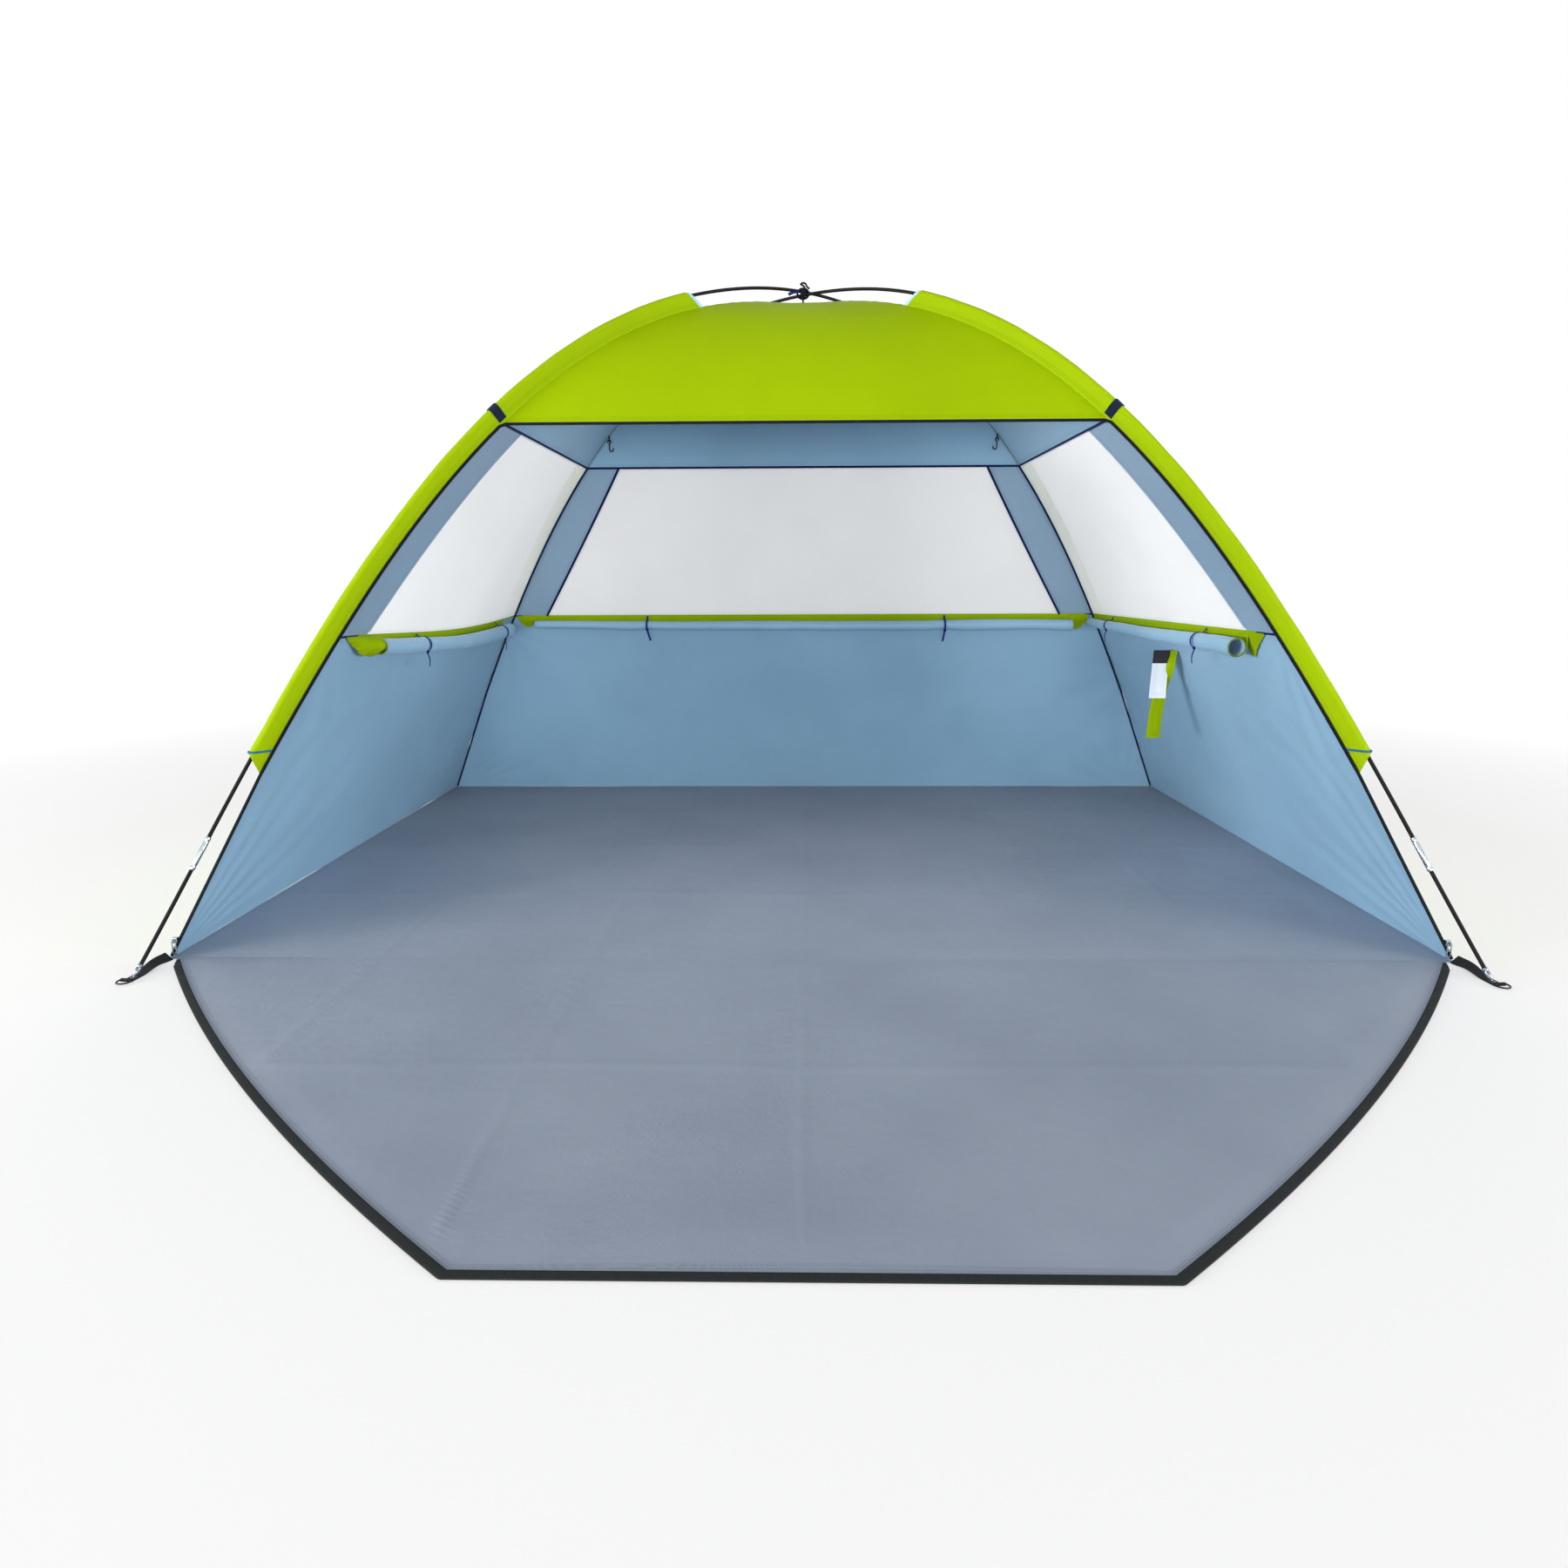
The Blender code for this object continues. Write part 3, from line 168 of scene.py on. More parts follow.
def arch_at(length):
    return np.stack([np.interp(length, ARCH_LENGTHS, ARCH[:, k]) for k in (0, 1)])


def arch_tangent(length):
    reach = HALF_ARCH / ARCH_STEPS
    step = arch_at(length + reach) - arch_at(length - reach)
    return step / np.hypot(*step)


def measure_skin():
    """Radius and height of the cloth on a ridge, which hangs a sleeve's depth under the pole."""
    lengths = np.linspace(SLEEVE_START - SLEEVE_SLANT, HALF_ARCH, 600)
    (radii, heights), (run, rise) = arch_at(lengths), arch_tangent(lengths)
    radii = np.maximum(0, radii - rise * SLEEVE_DEPTH)
    radii[-1] = 0
    return np.append(CORNER_RADIUS, radii), np.append(0, heights + run * SLEEVE_DEPTH)


SKIN_RADII, SKIN_HEIGHTS = measure_skin()
APEX = float(SKIN_HEIGHTS[-1])


def half_width(height):
    return HALF_WIDTH * np.interp(height, SKIN_HEIGHTS, SKIN_RADII) / CORNER_RADIUS


def half_depth(height):
    return HALF_DEPTH * np.interp(height, SKIN_HEIGHTS, SKIN_RADII) / CORNER_RADIUS


def corner_axes(side, end):
    outwards = np.array((side * HALF_WIDTH, end * HALF_DEPTH, 0)) / CORNER_RADIUS
    return outwards, np.array((-outwards[1], outwards[0], 0))


# Noise and meshes

def soft_noise(x, y, seed):
    """Smooth noise from -1 to 1, one bump for each unit."""
    table = np.random.RandomState(seed).uniform(-1, 1, (64, 64))
    x, y = np.asarray(x), np.asarray(y)
    xi, yi = np.floor(x).astype(int), np.floor(y).astype(int)
    fx, fy = ease(x - xi), ease(y - yi)
    a, b = table[xi % 64, yi % 64], table[(xi + 1) % 64, yi % 64]
    c, d = table[xi % 64, (yi + 1) % 64], table[(xi + 1) % 64, (yi + 1) % 64]
    return (a * (1 - fx) + b * fx) * (1 - fy) + (c * (1 - fx) + d * fx) * fy


def cloth_noise(x, y, seed):
    return (soft_noise(x, y, seed) + 0.5 * soft_noise(2.1 * x, 2.1 * y, seed + 1)
            + 0.25 * soft_noise(4.3 * x, 4.3 * y, seed + 2)) / 1.75


def add_object(name, data):
    made = bpy.data.objects.new(name, data)
    bpy.context.scene.collection.objects.link(made)
    return made


def add_mesh(name, verts, faces, uvs, materials, body, face_materials=None, edge=1.0, angle=50):
    """Mesh that rides on a body.

    edge is each point's distance from a sewn edge, which the cloths read as seam.
    """
    mesh = bpy.data.meshes.new(name)
    mesh.from_pydata(verts.tolist(), [], faces)
    for material in materials:
        mesh.materials.append(material)
    if face_materials is not None:
        mesh.polygons.foreach_set("material_index", face_materials.astype(np.int32))
    index = np.empty(len(mesh.loops), dtype=np.int32)
    mesh.loops.foreach_get("vertex_index", index)
    mesh.uv_layers.new(name="UVMap").data.foreach_set("uv", uvs[index].astype(np.float32).ravel())
    seam = np.broadcast_to(edge, (len(verts),)).astype(np.float32)
    mesh.attributes.new("seam", "FLOAT", "POINT").data.foreach_set("value", seam)
    mesh.validate()
    mesh.shade_smooth()
    mesh.set_sharp_from_angle(angle=math.radians(angle))
    made = add_object(name, mesh)
    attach(made, body)
    return made


def add_shell(name, base, half, faces, kinds, u, v, seam, materials, body, angle=50):
    """Mesh with the points base + half and after them base - half."""
    verts = np.concatenate(((base + half).reshape(-1, 3), (base - half).reshape(-1, 3)))
    uv = np.stack((u, v), axis=-1).reshape(-1, 2)
    return add_mesh(name, verts, faces, np.tile(uv, (2, 1)), materials, body, kinds,
                    np.tile(seam.ravel(), 2), angle)


def surface_normals(points):
    normals = np.cross(np.gradient(points, axis=1), np.gradient(points, axis=0))
    return normals / np.maximum(np.linalg.norm(normals, axis=2, keepdims=True), 1e-12)


def lengths_along(points, axis):
    steps = np.linalg.norm(np.diff(points, axis=axis), axis=2)
    return np.insert(np.cumsum(steps, axis=axis), 0, 0, axis=axis)


def sheet_area(points):
    a = points[1:, :-1] - points[:-1, :-1]
    b = points[:-1, 1:] - points[:-1, :-1]
    c = points[1:, 1:] - points[1:, :-1]
    d = points[1:, 1:] - points[:-1, 1:]
    return float((np.linalg.norm(np.cross(a, b), axis=2) + np.linalg.norm(np.cross(c, d), axis=2)).sum() / 2)


def cloth_sheet(name, points, thickness, grow, materials, body, relief=None, seams=(1, 1, 1, 1), shift=0.0):
    """Closed thin sheet over a grid of points, and its area. The first material is on the side that faces grow.

    Both sides are split along the same diagonals, so that neither cuts through the other in a crease.

    relief(u, v, seam) moves points along the normal that faces grow; u, v are lengths in metres.
    seams says which of the edges u low, u high, v low, v high carry stitches.
    """
    rows, cols = points.shape[:2]
    u, v = lengths_along(points, 1), lengths_along(points, 0)
    seam = np.ones((rows, cols))
    for use, distance in zip(seams, (u, u[:, -1:] - u, v, v[-1:, :] - v)):
        if use:
            seam = np.minimum(seam, distance)
    normals = surface_normals(points)
    facing = -1 if np.dot(normals[rows // 2, cols // 2], grow) < 0 else 1
    base = points + normals * facing * shift
    if relief is not None:
        base = base + normals * facing * relief(u, v, seam)[:, :, None]
        normals = surface_normals(base)
    index = np.arange(rows * cols).reshape(rows, cols)
    quads = np.stack((index[:-1, :-1], index[:-1, 1:], index[1:, 1:], index[1:, :-1]), axis=-1).reshape(-1, 4)
    upper = quads[:, [0, 1, 2, 0, 2, 3]].reshape(-1, 3)
    under = upper[:, ::-1] + rows * cols
    ring = np.concatenate((index[0, :], index[1:, -1], index[-1, -2::-1], index[-2:0:-1, 0]))
    after = np.roll(ring, -1)
    rim = np.stack((ring, ring + rows * cols, after + rows * cols, after), axis=-1)
    faces = [face[::facing] for part in (upper, under, rim) for face in part.tolist()]
    kinds = np.repeat((0, 1, 0), (len(upper), len(under), len(rim)))
    made = add_shell(name, base, normals * facing * thickness / 2, faces, kinds, u, v, seam, materials, body)
    return made, sheet_area(base)


def smooth_path(points, steps):
    points = [np.asarray(p, float) for p in points]
    made, last = [], len(points) - 1
    for i in range(last):
        a, b, c, d = [points[max(0, min(last, i + k))] for k in (-1, 0, 1, 2)]
        for t in np.arange(steps) / steps:
            made.append(0.5 * (2 * b + (c - a) * t + (2 * a - 5 * b + 4 * c - d) * t * t
                               + (3 * b - a - 3 * c + d) * t ** 3))
    return np.array(made + [points[-1]])


def sweep(name, path, half_w, half_t, material, body="tent", up=None, power=1.0, segments=16, closed=False):
    """Solid along a path. half_w lies across the path and up, half_t along up; power under 1 squares it."""
    path = np.asarray(path, float)
    count = len(path)
    tangents = np.roll(path, -1, axis=0) - np.roll(path, 1, axis=0) if closed else np.gradient(path, axis=0)
    tangents /= np.linalg.norm(tangents, axis=1, keepdims=True)
    if up is None:
        current = np.array((0, 0, 1.0) if abs(tangents[0][2]) < 0.9 else (1.0, 0, 0))
        ups = np.zeros((count, 3))
        for i, tangent in enumerate(tangents):
            current = current - tangent * current.dot(tangent)
            current /= np.linalg.norm(current)
            ups[i] = current
    else:
        up = np.asarray(up, float)
        ups = up - tangents * (up * tangents).sum(axis=1, keepdims=True)
        ups /= np.linalg.norm(ups, axis=1, keepdims=True)
    across = np.cross(tangents, ups)
    half_w, half_t = np.broadcast_to(half_w, (count,)), np.broadcast_to(half_t, (count,))
    angles = np.linspace(0, math.tau, segments, endpoint=False)
    c, s = [np.sign(turn) * np.abs(turn) ** power for turn in (np.cos(angles), np.sin(angles))]
    verts = (path[:, None, :] + across[:, None, :] * (half_w[:, None] * c)[:, :, None]
             + ups[:, None, :] * (half_t[:, None] * s)[:, :, None]).reshape(-1, 3)
    index = np.arange(count * segments).reshape(count, segments)
    if closed:
        index = np.concatenate((index, index[:1]))
    after = np.roll(index, -1, axis=1)
    faces = np.stack((index[1:], after[1:], after[:-1], index[:-1]), axis=-1).reshape(-1, 4).tolist()
    if not closed:
        faces += [index[0].tolist(), index[-1, ::-1].tolist()]
    around = np.cumsum(np.hypot(np.diff(c, prepend=c[0]), np.diff(s, prepend=s[0]))) * float(np.mean(half_w))
    uv = np.stack(np.broadcast_arrays(path_lengths(path)[:, None], around), axis=-1).reshape(-1, 2)
    return add_mesh(name, verts, faces, uv, [material], body)


def dress(made, slot, *nodes):
    """Hides the nodes of the part that a piece stands for and returns the piece; slot is not used."""
    if nodes:
        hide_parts(*nodes)
    return made


def declare_sheet(made, slot, node, with_pieces=()):
    dress(made, slot, node)


# Materials

def srgb(*colour):
    linear = [v / 255 / 12.92 if v / 255 <= 0.04045 else ((v / 255 + 0.055) / 1.055) ** 2.4 for v in colour]
    return (*linear, 1.0)


class Nodes:
    """Builds the node tree of a material or of the world. Most calls return the new node's output."""

    def __init__(self, owner):
        owner.use_nodes = True
        self.owner, self.tree = owner, owner.node_tree

    def put(self, socket, value):
        if isinstance(value, bpy.types.NodeSocket):
            self.tree.links.new(value, socket)
        else:
            socket.default_value = value

    def fill(self, node, inputs):
        for key, value in dict(inputs).items():
            self.put(node.inputs[key], value)

    def node(self, kind, inputs=(), output=0, **settings):
        made = self.tree.nodes.new("ShaderNode" + kind)
        for key, value in settings.items():
            setattr(made, key, value)
        self.fill(made, inputs)
        return made.outputs[output]

    def principled(self, inputs):
        shader = self.tree.nodes["Principled BSDF"]
        self.fill(shader, inputs)
        return shader.outputs[0]

    def surface(self, shader):
        self.fill(self.tree.nodes["Material Output"], {"Surface": shader})

    def math(self, operation, a, b=None, clamp=False):
        inputs = {0: a} if b is None else {0: a, 1: b}
        return self.node("Math", inputs, operation=operation, use_clamp=clamp)

    def add(self, a, b):
        return self.math("ADD", a, b)

    def times(self, a, b):
        return self.math("MULTIPLY", a, b)

    def top(self, a, b):
        return self.math("MAXIMUM", a, b)

    def wave(self, value, pitch):
        return self.math("SINE", self.times(value, math.tau / pitch))

    def ramp(self, value, low, high, to_low=0.0, to_high=1.0):
        return self.node("MapRange", {0: value, 1: low, 2: high, 3: to_low, 4: to_high})

    def mix(self, factor, a, b, blend="MIX"):
        return self.node("Mix", {0: factor, 6: a, 7: b}, 2, data_type="RGBA", blend_type=blend)

    def blend(self, factor, a, b):
        return self.node("MixShader", {0: factor, 1: a, 2: b})

    def noise(self, vector, scale, detail=2.0, roughness=0.5):
        return self.node("TexNoise", {"Vector": vector, "Scale": scale, "Detail": detail,
                                      "Roughness": roughness})

    def place(self):
        return self.node("TexCoord", output="Object")

    def uv(self):
        return self.node("TexCoord", output="UV")

    def seam(self):
        return self.node("Attribute", output="Fac", attribute_name="seam")

    def axis(self, vector, which):
        return self.node("SeparateXYZ", {0: vector}, which)

    def bump(self, height, strength, distance, normal=None):
        inputs = {"Height": height, "Strength": strength, "Distance": distance}
        return self.node("Bump", inputs if normal is None else {**inputs, "Normal": normal})

    def seen(self):
        """1 for what the camera sees straight, reflected or through something clear, else 0."""
        camera, glossy, clear = [self.node("LightPath", output=f"Is {ray} Ray")
                                 for ray in ("Camera", "Glossy", "Transmission")]
        return self.top(self.top(camera, glossy), clear)


def plain_weave(nodes, vector, pitch):
    """Height of a plain weave: threads that cross over and under, one pitch apart."""
    warp, weft = [nodes.wave(nodes.axis(vector, k), 2 * pitch) for k in (0, 1)]
    threads = nodes.top(nodes.math("ABSOLUTE", warp), nodes.math("ABSOLUTE", weft))
    return nodes.add(nodes.times(nodes.times(warp, weft), 0.35), threads)


def cloth_material(name, colour, thread, deep, rough=0.62, sheen=0.25, pitch=0.0006, weave=0.35, coat=0.0,
                   crease=0.3, specular=0.3, painted_rear_shade=None):
    """Woven cloth, with a hem and two rows of stitches along its sewn edges, and, where asked, painted shade that
    darkens it towards the rear.
    """
    nodes = Nodes(bpy.data.materials.new(name))
    colour, thread, deep = srgb(*colour), srgb(*thread), srgb(*deep)
    uv, place, seam = nodes.uv(), nodes.place(), nodes.seam()
    threads = plain_weave(nodes, uv, pitch)
    fine = nodes.noise(uv, 60.0, 4.0, 0.6)
    slubs = nodes.noise(nodes.node("Mapping", {"Vector": uv, "Scale": (8, 700, 1)}), 1.0, 2.0)
    shade = nodes.mix(nodes.ramp(nodes.noise(place, 2.3, 4.0, 0.55), 0.38, 0.66), colour, deep)
    shade = nodes.mix(nodes.ramp(fine, 0.35, 0.7, 0.0, 0.10), shade, deep)
    shade = nodes.mix(nodes.ramp(slubs, 0.55, 0.75, 0.0, 0.10), shade, colour)
    shade = nodes.mix(nodes.ramp(threads, 0.75, 1.3, 0.18, 0.0), shade, deep)
    rows = [nodes.math("LESS_THAN", nodes.math("ABSOLUTE", nodes.math("SUBTRACT", seam, row)), STITCH_HALF_WIDTH)
            for row in STITCH_ROWS]
    along = nodes.add(nodes.axis(uv, 0), nodes.axis(uv, 1))
    dash = nodes.math("GREATER_THAN", nodes.wave(along, STITCH_PITCH), -0.45)
    stitches = nodes.times(nodes.math("ADD", *rows, clamp=True), dash)
    hem = nodes.ramp(seam, 0.0145, 0.0155, 1.0, 0.0)
    shade = nodes.mix(nodes.times(stitches, 0.85), shade, thread)
    shade = nodes.mix(nodes.times(hem, 0.16), shade, deep)
    # Painted shade: the colour is multiplied darker and warmer towards the rear (+y). It stands in for the
    # canopy's shade on the rear floor, and it is less blue to offset the light that the blue walls throw on it.
    if painted_rear_shade:
        shade = nodes.mix(nodes.ramp(nodes.axis(place, 1), -0.3, HALF_DEPTH), shade, painted_rear_shade, "MULTIPLY")
    normal = nodes.bump(nodes.noise(place, 17.0, 5.0, 0.55), crease, 0.0040)
    normal = nodes.bump(nodes.add(nodes.times(hem, 0.5), stitches), 0.5, 0.0006, normal)
    roughness = nodes.ramp(nodes.add(fine, nodes.times(threads, 0.2)), 0.3, 1.1, rough - 0.08, rough + 0.10)
    nodes.principled({"Base Color": shade, "Roughness": roughness, "Sheen Weight": sheen, "Sheen Roughness": 0.4,
                      "Specular IOR Level": specular, "Coat Weight": coat, "Coat Roughness": 0.35,
                      "Normal": nodes.bump(threads, weave, 0.0002, normal)})
    return nodes.owner


def net_material(pitch=0.0014, thread=0.55):
    """Window mesh with staggered holes and a solid hem."""
    nodes = Nodes(bpy.data.materials.new("window_mesh"))
    uv = nodes.uv()
    row = nodes.math("DIVIDE", nodes.axis(uv, 1), pitch)
    stagger = nodes.times(nodes.math("FLOOR", row), 0.5)
    column = nodes.add(nodes.math("DIVIDE", nodes.axis(uv, 0), pitch), stagger)
    a, b = [nodes.math("LESS_THAN", nodes.math("FRACT", place), thread) for place in (column, row)]
    solid = nodes.top(nodes.top(a, b), nodes.ramp(nodes.seam(), 0.0080, 0.0085, 1.0, 0.0))
    patches = nodes.ramp(nodes.noise(nodes.place(), 3.0, 3.0), 0.35, 0.7)
    shade = nodes.mix(patches, srgb(242, 242, 241), srgb(235, 235, 235))
    shade = nodes.mix(nodes.times(nodes.times(a, b), 0.2), shade, srgb(225, 225, 226))
    normal = nodes.bump(nodes.add(a, b), 0.4, 0.0003)
    cloth = nodes.principled({"Base Color": shade, "Alpha": solid, "Roughness": 0.8, "Sheen Weight": 0.15,
                              "Normal": normal})
    glow = nodes.node("BsdfTranslucent", {"Color": shade, "Normal": normal})
    nodes.surface(nodes.blend(0.35, cloth, nodes.blend(solid, nodes.node("BsdfTransparent"), glow)))
    return nodes.owner


def webbing_material(name, colour, lift, pitch):
    """Woven tape: ribs along its length and threads across."""
    nodes = Nodes(bpy.data.materials.new(name))
    colour, lift, uv = srgb(*colour), srgb(*lift), nodes.uv()
    ribs, cross = nodes.wave(nodes.axis(uv, 0), pitch), nodes.wave(nodes.axis(uv, 1), pitch * 0.8)
    height = nodes.times(nodes.add(ribs, 1.0), nodes.add(cross, 1.4))
    dust = nodes.noise(nodes.place(), 45.0, 5.0, 0.6)
    shade = nodes.mix(nodes.ramp(height, 0.4, 4.0), colour, lift)
    nodes.principled({"Base Color": nodes.mix(nodes.ramp(dust, 0.55, 0.8, 0.0, 0.25), shade, lift),
                      "Roughness": nodes.ramp(dust, 0.3, 0.8, 0.62, 0.85), "Sheen Weight": 0.02,
                      "Specular IOR Level": 0.12, "Normal": nodes.bump(height, 0.5, 0.0004)})
    return nodes.owner


def hard_material(name, colour, worn, rough, scale, metal=0.0, specular=0.5):
    """Metal or plastic with fine grain and worn patches."""
    nodes = Nodes(bpy.data.materials.new(name))
    colour, worn, place = srgb(*colour), srgb(*worn), nodes.place()
    grain, wear = nodes.noise(place, scale, 4.0, 0.6), nodes.noise(place, 35.0, 6.0, 0.65)
    shade = nodes.mix(nodes.ramp(wear, 0.56, 0.72, 0.0, 0.6), colour, worn)
    roughness = nodes.ramp(nodes.add(grain, wear), 0.7, 1.3, rough - 0.10, rough + 0.12)
    nodes.principled({"Base Color": nodes.mix(nodes.ramp(grain, 0.4, 0.7, 0.0, 0.15), shade, worn),
                      "Roughness": roughness, "Metallic": metal, "Specular IOR Level": specular,
                      "Normal": nodes.bump(grain, 0.15, 0.0002)})
    return nodes.owner


GREEN = cloth_material("canopy_cloth", (139, 166, 1), (103, 128, 1), (132, 158, 1), sheen=0.0, specular=0.04)
LINING = cloth_material("coated_cloth", (142, 180, 205), (108, 142, 167), (132, 169, 194), rough=0.48, sheen=0.1,
                        weave=0.25, coat=0.08)
STRIP = cloth_material("strip_cloth", (134, 160, 182), (96, 120, 144), (126, 151, 173), rough=0.5, sheen=0.1,
                       weave=0.25, coat=0.08)
PALE = cloth_material("pale_lining", (160, 200, 232), (120, 160, 200), (140, 184, 220), rough=0.5, sheen=0.1)
# The ground cloth has painted shade: darker and warmer towards the rear.
GROUND = cloth_material("ground_cloth", (147, 157, 174), (106, 114, 132), (135, 145, 163), rough=0.55, sheen=0.1,
                        pitch=0.0011, weave=0.45, crease=0.35, coat=0.05, painted_rear_shade=(0.97, 0.86, 0.79, 1.0))
NET = net_material()
NAVY = webbing_material("navy_binding", (8, 22, 70), (16, 36, 92), 0.0010)
TAB_TAPE = webbing_material("tab_tape", (12, 24, 44), (24, 38, 60), 0.0010)
SLEEVE_HEM = webbing_material("sleeve_hem", (34, 92, 128), (52, 116, 152), 0.0010)
NAVY_CORD = webbing_material("navy_cord", (10, 30, 104), (22, 50, 132), 0.0012)
BLACK_BINDING = webbing_material("black_binding", (8, 10, 18), (18, 22, 34), 0.0012)
BAND = webbing_material("porch_binding", (29, 33, 33), (41, 45, 45), 0.0014)
WEBBING = webbing_material("black_webbing", (15, 17, 22), (29, 32, 38), 0.0018)
BLACK_CORD = webbing_material("black_cord", (8, 10, 20), (18, 22, 40), 0.0012)
POLE = hard_material("fibreglass", (10, 10, 11), (26, 26, 28), 0.50, 500.0, specular=0.12)
STEEL = hard_material("plated_steel", (172, 182, 188), (112, 120, 126), 0.30, 400.0, metal=1.0)
TIP_STEEL = hard_material("tip_steel", (112, 120, 126), (66, 72, 78), 0.34, 400.0, metal=1.0)
PLASTIC = hard_material("black_plastic", (14, 14, 16), (36, 36, 40), 0.45, 350.0, specular=0.2)
LABEL = cloth_material("satin_label", (232, 235, 240), (190, 196, 206), (212, 218, 228), rough=0.45, sheen=0.3,
                       pitch=0.0004)
HEADER = cloth_material("label_header", (20, 22, 34), (44, 48, 62), (14, 16, 24), rough=0.5, sheen=0.3,
                        pitch=0.0004)


# Walls, strips and window nets

def width_edge(height):
    return half_width(height) - SEAM_GAP


def depth_edge(height):
    return half_depth(height) - SEAM_GAP


def front_strip_edge(height):
    return -between((half_depth(SILL) - 0.120, half_depth(HEAD) - 0.132), (height - SILL) / (HEAD - SILL))


def rear_strip_edge(height):
    return between((half_width(SILL) - 0.105, half_width(HEAD) - 0.092), (height - SILL) / (HEAD - SILL))


def sill_dip(side, along):
    """The left sill hangs lower between its ends, most towards the rear."""
    share = np.clip(along / (2 * half_depth(SILL)) + 0.5, 0, 1)
    return (LEFT_SAG if side < 0 else 0.0) * np.sin(math.pi * share ** 1.35)


def dipped(side, x, y, z):
    """Points at the sill, moved with the sagging cloth."""
    dip = sill_dip(side, y)
    return line(x + side * (half_width(SILL - dip) - half_width(SILL)), y, z - dip)


def on_side(side):
    def place(along, height):
        share = np.where(height < SILL, height / SILL, (HEAD - height) / (HEAD - SILL))
        height = height - sill_dip(side, along) * share ** 2
        return line(side * half_width(height), along, height)
    return place


def on_rear(along, height):
    return line(along, half_depth(height), height)


def panel(low, high, rows, cols, place, edges):
    """Grid of points between the two edges that edges(heights) gives."""
    heights = np.linspace(low, high, rows)[:, None]
    return place(between(edges(heights), np.linspace(0, 1, cols)), heights)


def stretch(name, node, points, grow, cloth, relief, seams, slot):
    """A sheet held by the seams round it: a net, or cloth that is green outside."""
    outside, thickness = (NET, NET_THICKNESS) if slot == "net" else (GREEN, CLOTH)
    made, area = cloth_sheet(name, points, thickness, grow, [outside, cloth], "tent", relief, seams, CLOTH_PLACE)
    declare_sheet(made, slot, node)


def wall_relief(seed, width, height, billow=0.004):
    """A slight billow, folds that run out from the corners, drift, crumple and the puckers of the seams."""
    def relief(u, v, seam):
        hold = ease(np.clip(seam / 0.12, 0, 1))
        moved = billow * np.sin(math.pi * np.clip(u / width, 0, 1)) * np.sin(math.pi * np.clip(v / height, 0, 1))
        for k, (cu, cv) in enumerate(((0, height), (width, height), (0, 0), (width, 0))):
            distance = np.hypot(u - cu, v - cv)
            angle = np.arctan2(np.abs(v - cv), np.abs(u - cu))
            wave = np.sin(angle * (17 + 3 * k) + 2.2 * soft_noise(distance * 3, angle * 2, seed + k))
            moved = moved + 0.0016 * wave * np.exp(-distance / 0.30) * np.clip(distance / 0.10, 0, 1)
        moved = moved + 0.0022 * cloth_noise(u * 2.2 + 7, v * 4.5 + 3, seed + 11)
        crumple = 0.0006 * cloth_noise(u * 14, v * 14, seed + 17)
        pucker = np.sin((u + v) * math.tau / 0.034 + 3 * soft_noise(u * 9, v * 9, seed))
        return hold * (moved + crumple) + 0.0005 * np.exp(-seam / 0.012) * pucker
    return relief


def strip_relief(seed):
    def relief(u, v, seam):
        pucker = 0.0003 * np.exp(-seam / 0.01) * np.sin(v * math.tau / 0.030)
        return np.clip(seam / 0.03, 0, 1) * 0.0012 * cloth_noise(u * 9, v * 5, seed) + pucker
    return relief


def net_relief(seed):
    def relief(u, v, seam):
        return np.clip(seam / 0.15, 0, 1) * 0.003 * cloth_noise(u * 2.5, v * 3.5, seed)
    return relief


def build_walls():
    points = panel(0.0012, SILL, 64, 200, on_rear, lambda h: (-width_edge(h), width_edge(h)))
    stretch("rear_wall_cloth", "rear_wall", points, (0, 1, 0), LINING, wall_relief(3, 2.3, 0.62), (0, 0, 0, 1),
            "wall_cloth")
    for name, side, seed in (("left_wall", -1, 21), ("right_wall", 1, 42)):
        points = panel(0.0012, SILL, 72, 140, on_side(side), lambda h: (-depth_edge(h), depth_edge(h)))
        stretch(name + "_cloth", name, points, (side, 0, 0), LINING, wall_relief(seed, 1.4, 0.66), (0, 0, 0, 1),
                "wall_cloth")


def build_windows():
    strip, net = (1, 1, 0, 0), (1, 1, 1, 1)
    for name, side, seed in (("left", -1, 60), ("right", 1, 80)):
        points = panel(SILL, HEAD, 60, 22, on_side(side), lambda h: (-depth_edge(h), front_strip_edge(h)))
        stretch(name + "_front_strip_cloth", name + "_front_strip", points, (side, 0, 0), STRIP,
                strip_relief(seed), strip, "strip_cloth")
        points = panel(SILL, HEAD, 50, 60, on_side(side), lambda h: (front_strip_edge(h), depth_edge(h)))
        stretch(name + "_window_mesh", name + "_window_net", points, (side, 0, 0), NET, net_relief(seed + 5),
                net, "net")
        points = panel(SILL, HEAD, 60, 18, on_rear, lambda h: (side * rear_strip_edge(h), side * width_edge(h)))
        stretch(name + "_rear_strip_cloth", name + "_rear_strip", points, (0, 1, 0), STRIP, strip_relief(seed),
                strip, "strip_cloth")
    points = panel(SILL, HEAD, 50, 90, on_rear, lambda h: (-rear_strip_edge(h), rear_strip_edge(h)))
    stretch("rear_window_mesh", "rear_window_net", points, (0, 1, 0), NET, net_relief(97), net,
            "net")


